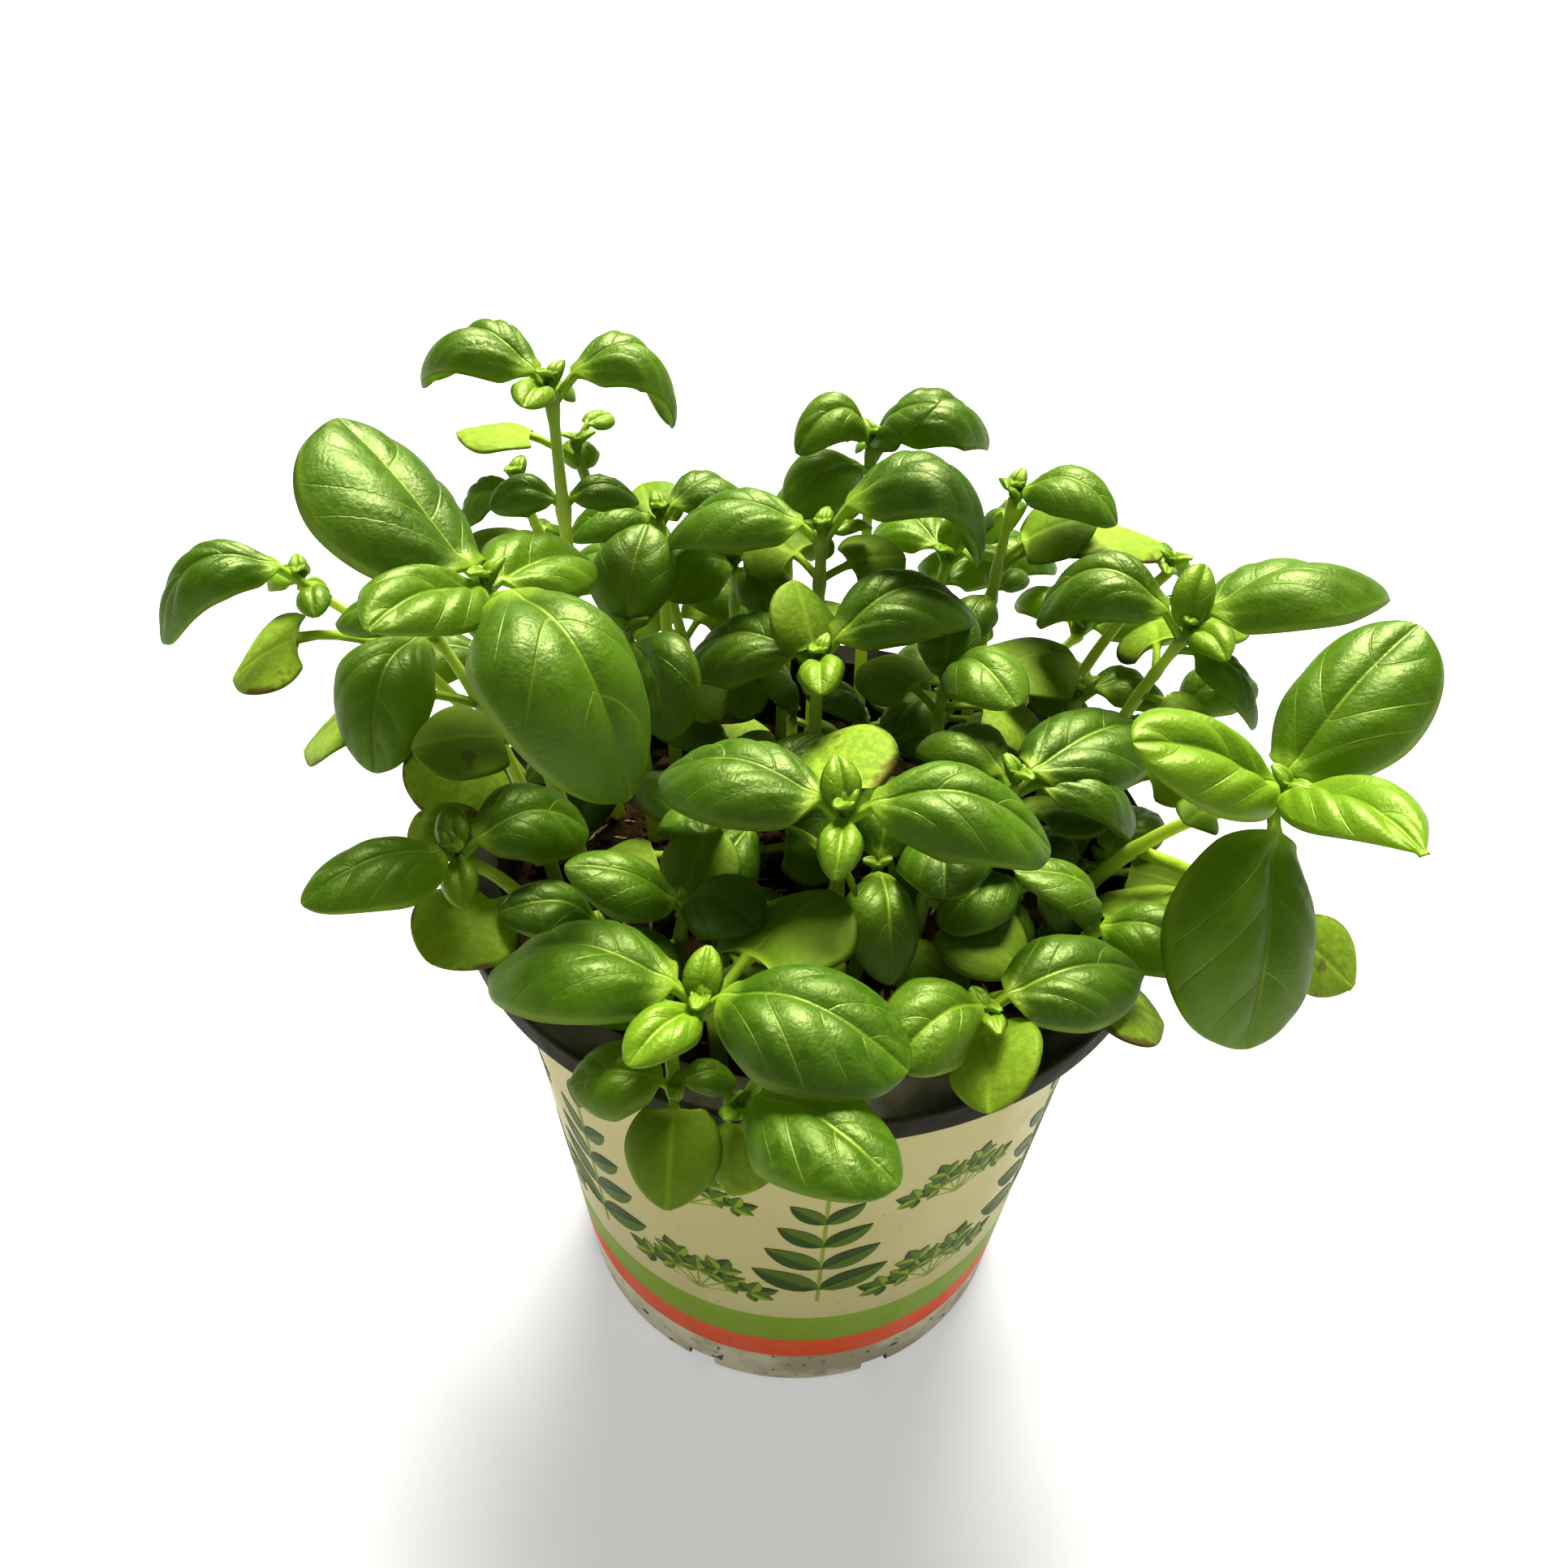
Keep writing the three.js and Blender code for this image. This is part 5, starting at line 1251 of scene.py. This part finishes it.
class Print:
    """Thin closed patches on the sleeve about `angle`. A place is (mm round the pot at its height, mm up)."""

    def __init__(self):
        self.shape = bmesh.new()
        self.angle = 0

    def on_sleeve(self, place, lift):
        across, height = place
        radius = outer_radius(height) + lift
        turn = self.angle + across / radius
        return self.shape.verts.new((radius * math.cos(turn) * MM, radius * math.sin(turn) * MM, height * MM))

    def patch(self, points, ink, layer):
        """A patch with the outline `points`, given anticlockwise as seen from outside."""
        lift = PRINT_LIFT + PRINT_LAYER * layer
        top = [self.on_sleeve(point, lift) for point in points]
        low = [self.on_sleeve(point, -PRINT_SINK) for point in points]
        middle = np.mean(points, axis=0)
        top_middle, low_middle = self.on_sleeve(middle, lift), self.on_sleeve(middle, -PRINT_SINK)
        for k in range(len(points)):
            after = (k + 1) % len(points)
            faces = [
                (top_middle, top[k], top[after]),
                (low_middle, low[after], low[k]),
                (top[k], low[k], low[after], top[after]),
            ]
            for corners in faces:
                self.shape.faces.new(corners).material_index = ink

    def blade(self, base, heading, length, width, inks, layer, steps=9):
        """A leaf in two halves, one for each ink."""
        forward = np.array([math.cos(heading), math.sin(heading)])
        side = np.array([-forward[1], forward[0]])
        share = np.linspace(0, 1, steps)
        spine = base + np.outer(share, forward) * length
        bulge = np.outer(np.sin(math.pi * share**0.85) ** 0.8, side) * width / 2
        self.patch(np.vstack([spine, (spine + bulge)[-2:0:-1]]), inks[0], layer)
        self.patch(np.vstack([(spine - bulge)[:-1], spine[:0:-1]]), inks[1], layer)

    def line(self, start, end, width):
        start, end = np.array(start, float), np.array(end, float)
        side = unit(np.array([start[1] - end[1], end[0] - start[0]])) * width / 2
        self.patch(np.array([start - side, end - side, end + side, start + side]), INK_STEM, 0)

    def sprig(self, foot, height, pairs):
        """An upright stem with pairs of leaves that shrink towards its top."""
        self.line((0, foot), (0, foot + height), 0.7)
        for i in range(pairs):
            share = i / pairs
            base = np.array([0, foot + height * (0.12 + 0.8 * share)])
            length = height * (0.34 - 0.17 * share)
            for way in (-1, 1):
                heading = math.pi / 2 + way * (1.05 - 0.35 * share)
                self.blade(base, heading, length, length * 0.46, DARK_HALVES, 3)
        base = np.array([0, foot + height * 0.93])
        self.blade(base, math.pi / 2, height * 0.2, height * 0.1, DARK_HALVES, 5)

    def bush(self, foot, size):
        """A low fan of thin stems, each of which ends in a spray of small leaves."""
        for i, turn in enumerate(np.linspace(-1.2, 1.2, BUSH_STEMS)):
            reach = size * (0.75, 0.5)[i % 2]
            tip = np.array([reach * math.sin(turn), foot + reach * math.cos(turn)])
            self.line((0, foot), tip, 0.4)
            for j, (lean, share) in enumerate(BUSH_SPRAY):
                length = size * share
                halves = (DARK_HALVES, FRESH_HALVES)[(i + j) % 2]
                self.blade(tip, math.pi / 2 - turn + lean, length, length * 0.6, halves, 2 + j, 5)


def make_print(materials):
    """Sprigs and bushes alternate round the sleeve, the bushes in two rows."""
    prints = Print()
    for i in range(MOTIFS):
        angle = (i + SPRIG_START) * TURN / MOTIFS
        prints.angle = angle
        prints.sprig(**SPRIG)
        prints.angle = angle + math.pi / MOTIFS
        for bush in BUSHES:
            prints.bush(**bush)
    add_piece("sleeve_print", mesh_from(prints.shape, "sleeve_print", smooth=False), materials, "pot")


# Soil


def soil_reach(height):
    return outer_radius(height) - WALL - SOIL_PLAY


def soil_height(radius):
    """The part's gentle mound, which drops off beside the wall."""
    inside = soil_reach(SOIL_LEVEL)
    spots = [0, SOIL_SHOULDER, inside - SOIL_EDGE["inset"], inside]
    levels = [SOIL_LEVEL + SOIL_CROWN, SOIL_LEVEL, SOIL_EDGE["high"], SOIL_EDGE["low"]]
    return np.interp(radius, spots, levels)


def clod(x, y):
    """Bumps of a millimetre or so, from clods of 9 mm down to grains."""
    place = Vector((x, y, 0))
    big = noise.noise(place / 9)
    lumps = noise.voronoi(place / 3.2)[0][0]
    grains = noise.noise(place / 1.1)
    return 0.8 * big - 1.1 * lumps + 0.35 * grains


def make_soil(material):
    """A fine cloddy surface that is smooth at the wall, on a plain side and underside."""
    inside = soil_reach(SOIL_LEVEL)
    shape = bmesh.new()
    middle = shape.verts.new((0, 0, (soil_height(0) + clod(0, 0)) * MM))
    rings = []
    for radius in inside * (np.arange(1, SOIL_RINGS + 1) / SOIL_RINGS) ** 0.8:
        level = soil_height(radius)
        rough = min(1, (inside - radius) / SOIL_EDGE["inset"])
        rings.append(ring(shape, radius, SOIL_STEPS, lambda x, y: level + rough * clod(x, y)))
    for height in (SOIL_MIDDLE, SOIL_BOTTOM):
        rings.append(ring(shape, soil_reach(height), SOIL_STEPS, lambda x, y: height))
    for k in range(SOIL_STEPS):
        after = (k + 1) % SOIL_STEPS
        shape.faces.new((middle, rings[0][k], rings[0][after]))
        for low, high in zip(rings, rings[1:]):
            shape.faces.new((low[k], high[k], high[after], low[after]))
    shape.faces.new(rings[-1][::-1])
    add_piece("soil_fine", mesh_from(shape, "soil_fine"), [material], "soil", "soil")


def soil_spot(draw, reach):
    """A point on the soil, evenly spread over the disc."""
    radius, angle = reach * math.sqrt(draw.uniform()), draw.uniform(0, TURN)
    x, y = radius * math.cos(angle), radius * math.sin(angle)
    return x, y, soil_height(radius) + clod(x, y)


def make_crumbs(draw, materials):
    """Loose clods and wood-brown bits, half sunk in the soil."""
    shape = bmesh.new()
    for i in range(CRUMBS):
        size = CRUMB_SIZE + CRUMB_MORE * draw.uniform() ** 3
        x, y, z = soil_spot(draw, CRUMB_REACH - size)
        turn = Matrix.Rotation(draw.uniform(0, math.pi), 4, unit(draw.normal(size=3)))
        squash = Matrix.Diagonal((*(draw.uniform(0.6, 1.2, 3) * size * MM), 1))
        place = Matrix.Translation((x * MM, y * MM, (z + 0.15 * size) * MM))
        rounds = 2 if size > 1 else 1
        made = bmesh.ops.create_icosphere(shape, subdivisions=rounds, radius=1, matrix=turn @ squash)
        brown = 1 if draw.uniform() < BROWN_SHARE else 0
        for vert in made["verts"]:
            dent = 1 + 0.35 * noise.noise(vert.co / (size * MM) * 1.4 + Vector((i, 0, 0)))
            vert.co = place @ (vert.co * dent)
            for face in vert.link_faces:
                face.material_index = brown
    add_piece("soil_crumbs", mesh_from(shape, "soil_crumbs", outward=False), materials, "soil")


def make_straws(draw, material):
    """Straw-coloured fibres and chips that lie on the soil, slightly bent."""
    skin = Skin()
    angle = np.arange(6) * math.pi / 3
    share = np.linspace(-0.5, 0.5, 6)
    taper = (1 - (2 * np.abs(share)) ** 3 * 0.6)[:, None, None]
    for _ in range(STRAWS):
        x, y, _ = soil_spot(draw, STRAW_REACH)
        length = STRAW_LENGTH + STRAW_MORE * draw.uniform() ** 2
        heading = draw.uniform(0, TURN)
        bend = draw.uniform(-0.25, 0.25) * length * (0.25 - share**2)
        cosine, sine = math.cos(heading), math.sin(heading)
        xs = x + cosine * share * length - sine * bend
        ys = y + sine * share * length + cosine * bend
        heights = [soil_height(math.hypot(*place)) + clod(*place) for place in zip(xs, ys)]
        level = np.polyval(np.polyfit(share, heights, 1), share) + 0.25
        centres = np.column_stack([xs, ys, level])
        thick = draw.uniform(0.2, 0.5)
        flat = draw.uniform(0.35, 0.9)
        across = np.array([-sine, cosine, 0])
        section = np.cos(angle)[:, None] * across * thick + np.outer(np.sin(angle), (0, 0, thick * flat))
        skin.tube(centres[:, None] + section[None] * taper, 0, tone=draw.uniform())
    add_piece("soil_straws", skin.mesh("soil_straws"), [material], "soil")


# Stage


def make_camera():
    camera = bpy.data.objects.new("camera", bpy.data.cameras.new("camera"))
    bpy.context.scene.collection.objects.link(camera)
    camera.data.sensor_width = SENSOR
    camera.data.lens = FOCAL_PIXELS / FRAME_PIXELS * SENSOR
    camera.data.clip_start = CLIP_START
    back = [-part for part in CAMERA_AHEAD]
    columns = [CAMERA_RIGHT, CAMERA_UP, back, [part * MM for part in CAMERA_PLACE]]
    camera.matrix_world = Matrix([[column[row] for column in columns] for row in range(3)] + [[0, 0, 0, 1]])
    bpy.context.scene.camera = camera


def make_lamp():
    lamp = bpy.data.objects.new("key", bpy.data.lights.new("key", "SUN"))
    lamp.data.angle = math.radians(LAMP_SPREAD)
    lamp.data.energy = LAMP_STRENGTH
    lamp.data.color = LAMP_COLOUR
    lamp.location = LAMP_FROM
    lamp.rotation_euler = (-Vector(LAMP_FROM)).to_track_quat("-Z", "Y").to_euler()
    bpy.context.scene.collection.objects.link(lamp)


def make_stage():
    bpy.ops.mesh.primitive_plane_add(size=FLOOR_SIZE)
    floor = bpy.context.object
    floor.name = "floor"
    floor.data.materials.append(floor_material())
    make_lamp()
    world = bpy.data.worlds.new("studio")
    world.use_nodes = True
    world.node_tree.nodes["Background"].inputs["Color"].default_value = GLOW_COLOUR
    world.node_tree.nodes["Background"].inputs["Strength"].default_value = GLOW_STRENGTH
    bpy.context.scene.world = world
    bpy.context.scene.view_settings.view_transform = "Standard"
    bpy.context.scene.view_settings.gamma = GAMMA


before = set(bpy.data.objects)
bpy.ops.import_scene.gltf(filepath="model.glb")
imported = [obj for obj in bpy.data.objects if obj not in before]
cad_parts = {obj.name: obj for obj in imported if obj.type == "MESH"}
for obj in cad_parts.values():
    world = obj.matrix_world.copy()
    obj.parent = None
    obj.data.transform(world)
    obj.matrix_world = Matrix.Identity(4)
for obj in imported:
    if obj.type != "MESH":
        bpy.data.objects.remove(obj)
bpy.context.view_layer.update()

make_camera()
make_stage()

plant_materials = [leaf_material(), seed_leaf_material(), stem_material()]
for index, plant in enumerate(STEMS):
    make_plant(plant, np.random.default_rng([SEED, index]), plant_materials)

make_pot(sleeve_material(), rim_material())
make_print([print_material(f"ink_{name}", colour) for name, colour in INKS.items()])
soil = soil_material("soil", SOIL_DARK, SOIL_LIGHT, 0.95)
make_soil(soil)
make_crumbs(np.random.default_rng(SEED), [soil, soil_material("bark", SOIL_LIGHT, SOIL_BARK, 0.9)])
make_straws(np.random.default_rng(SEED + 1), straw_material())
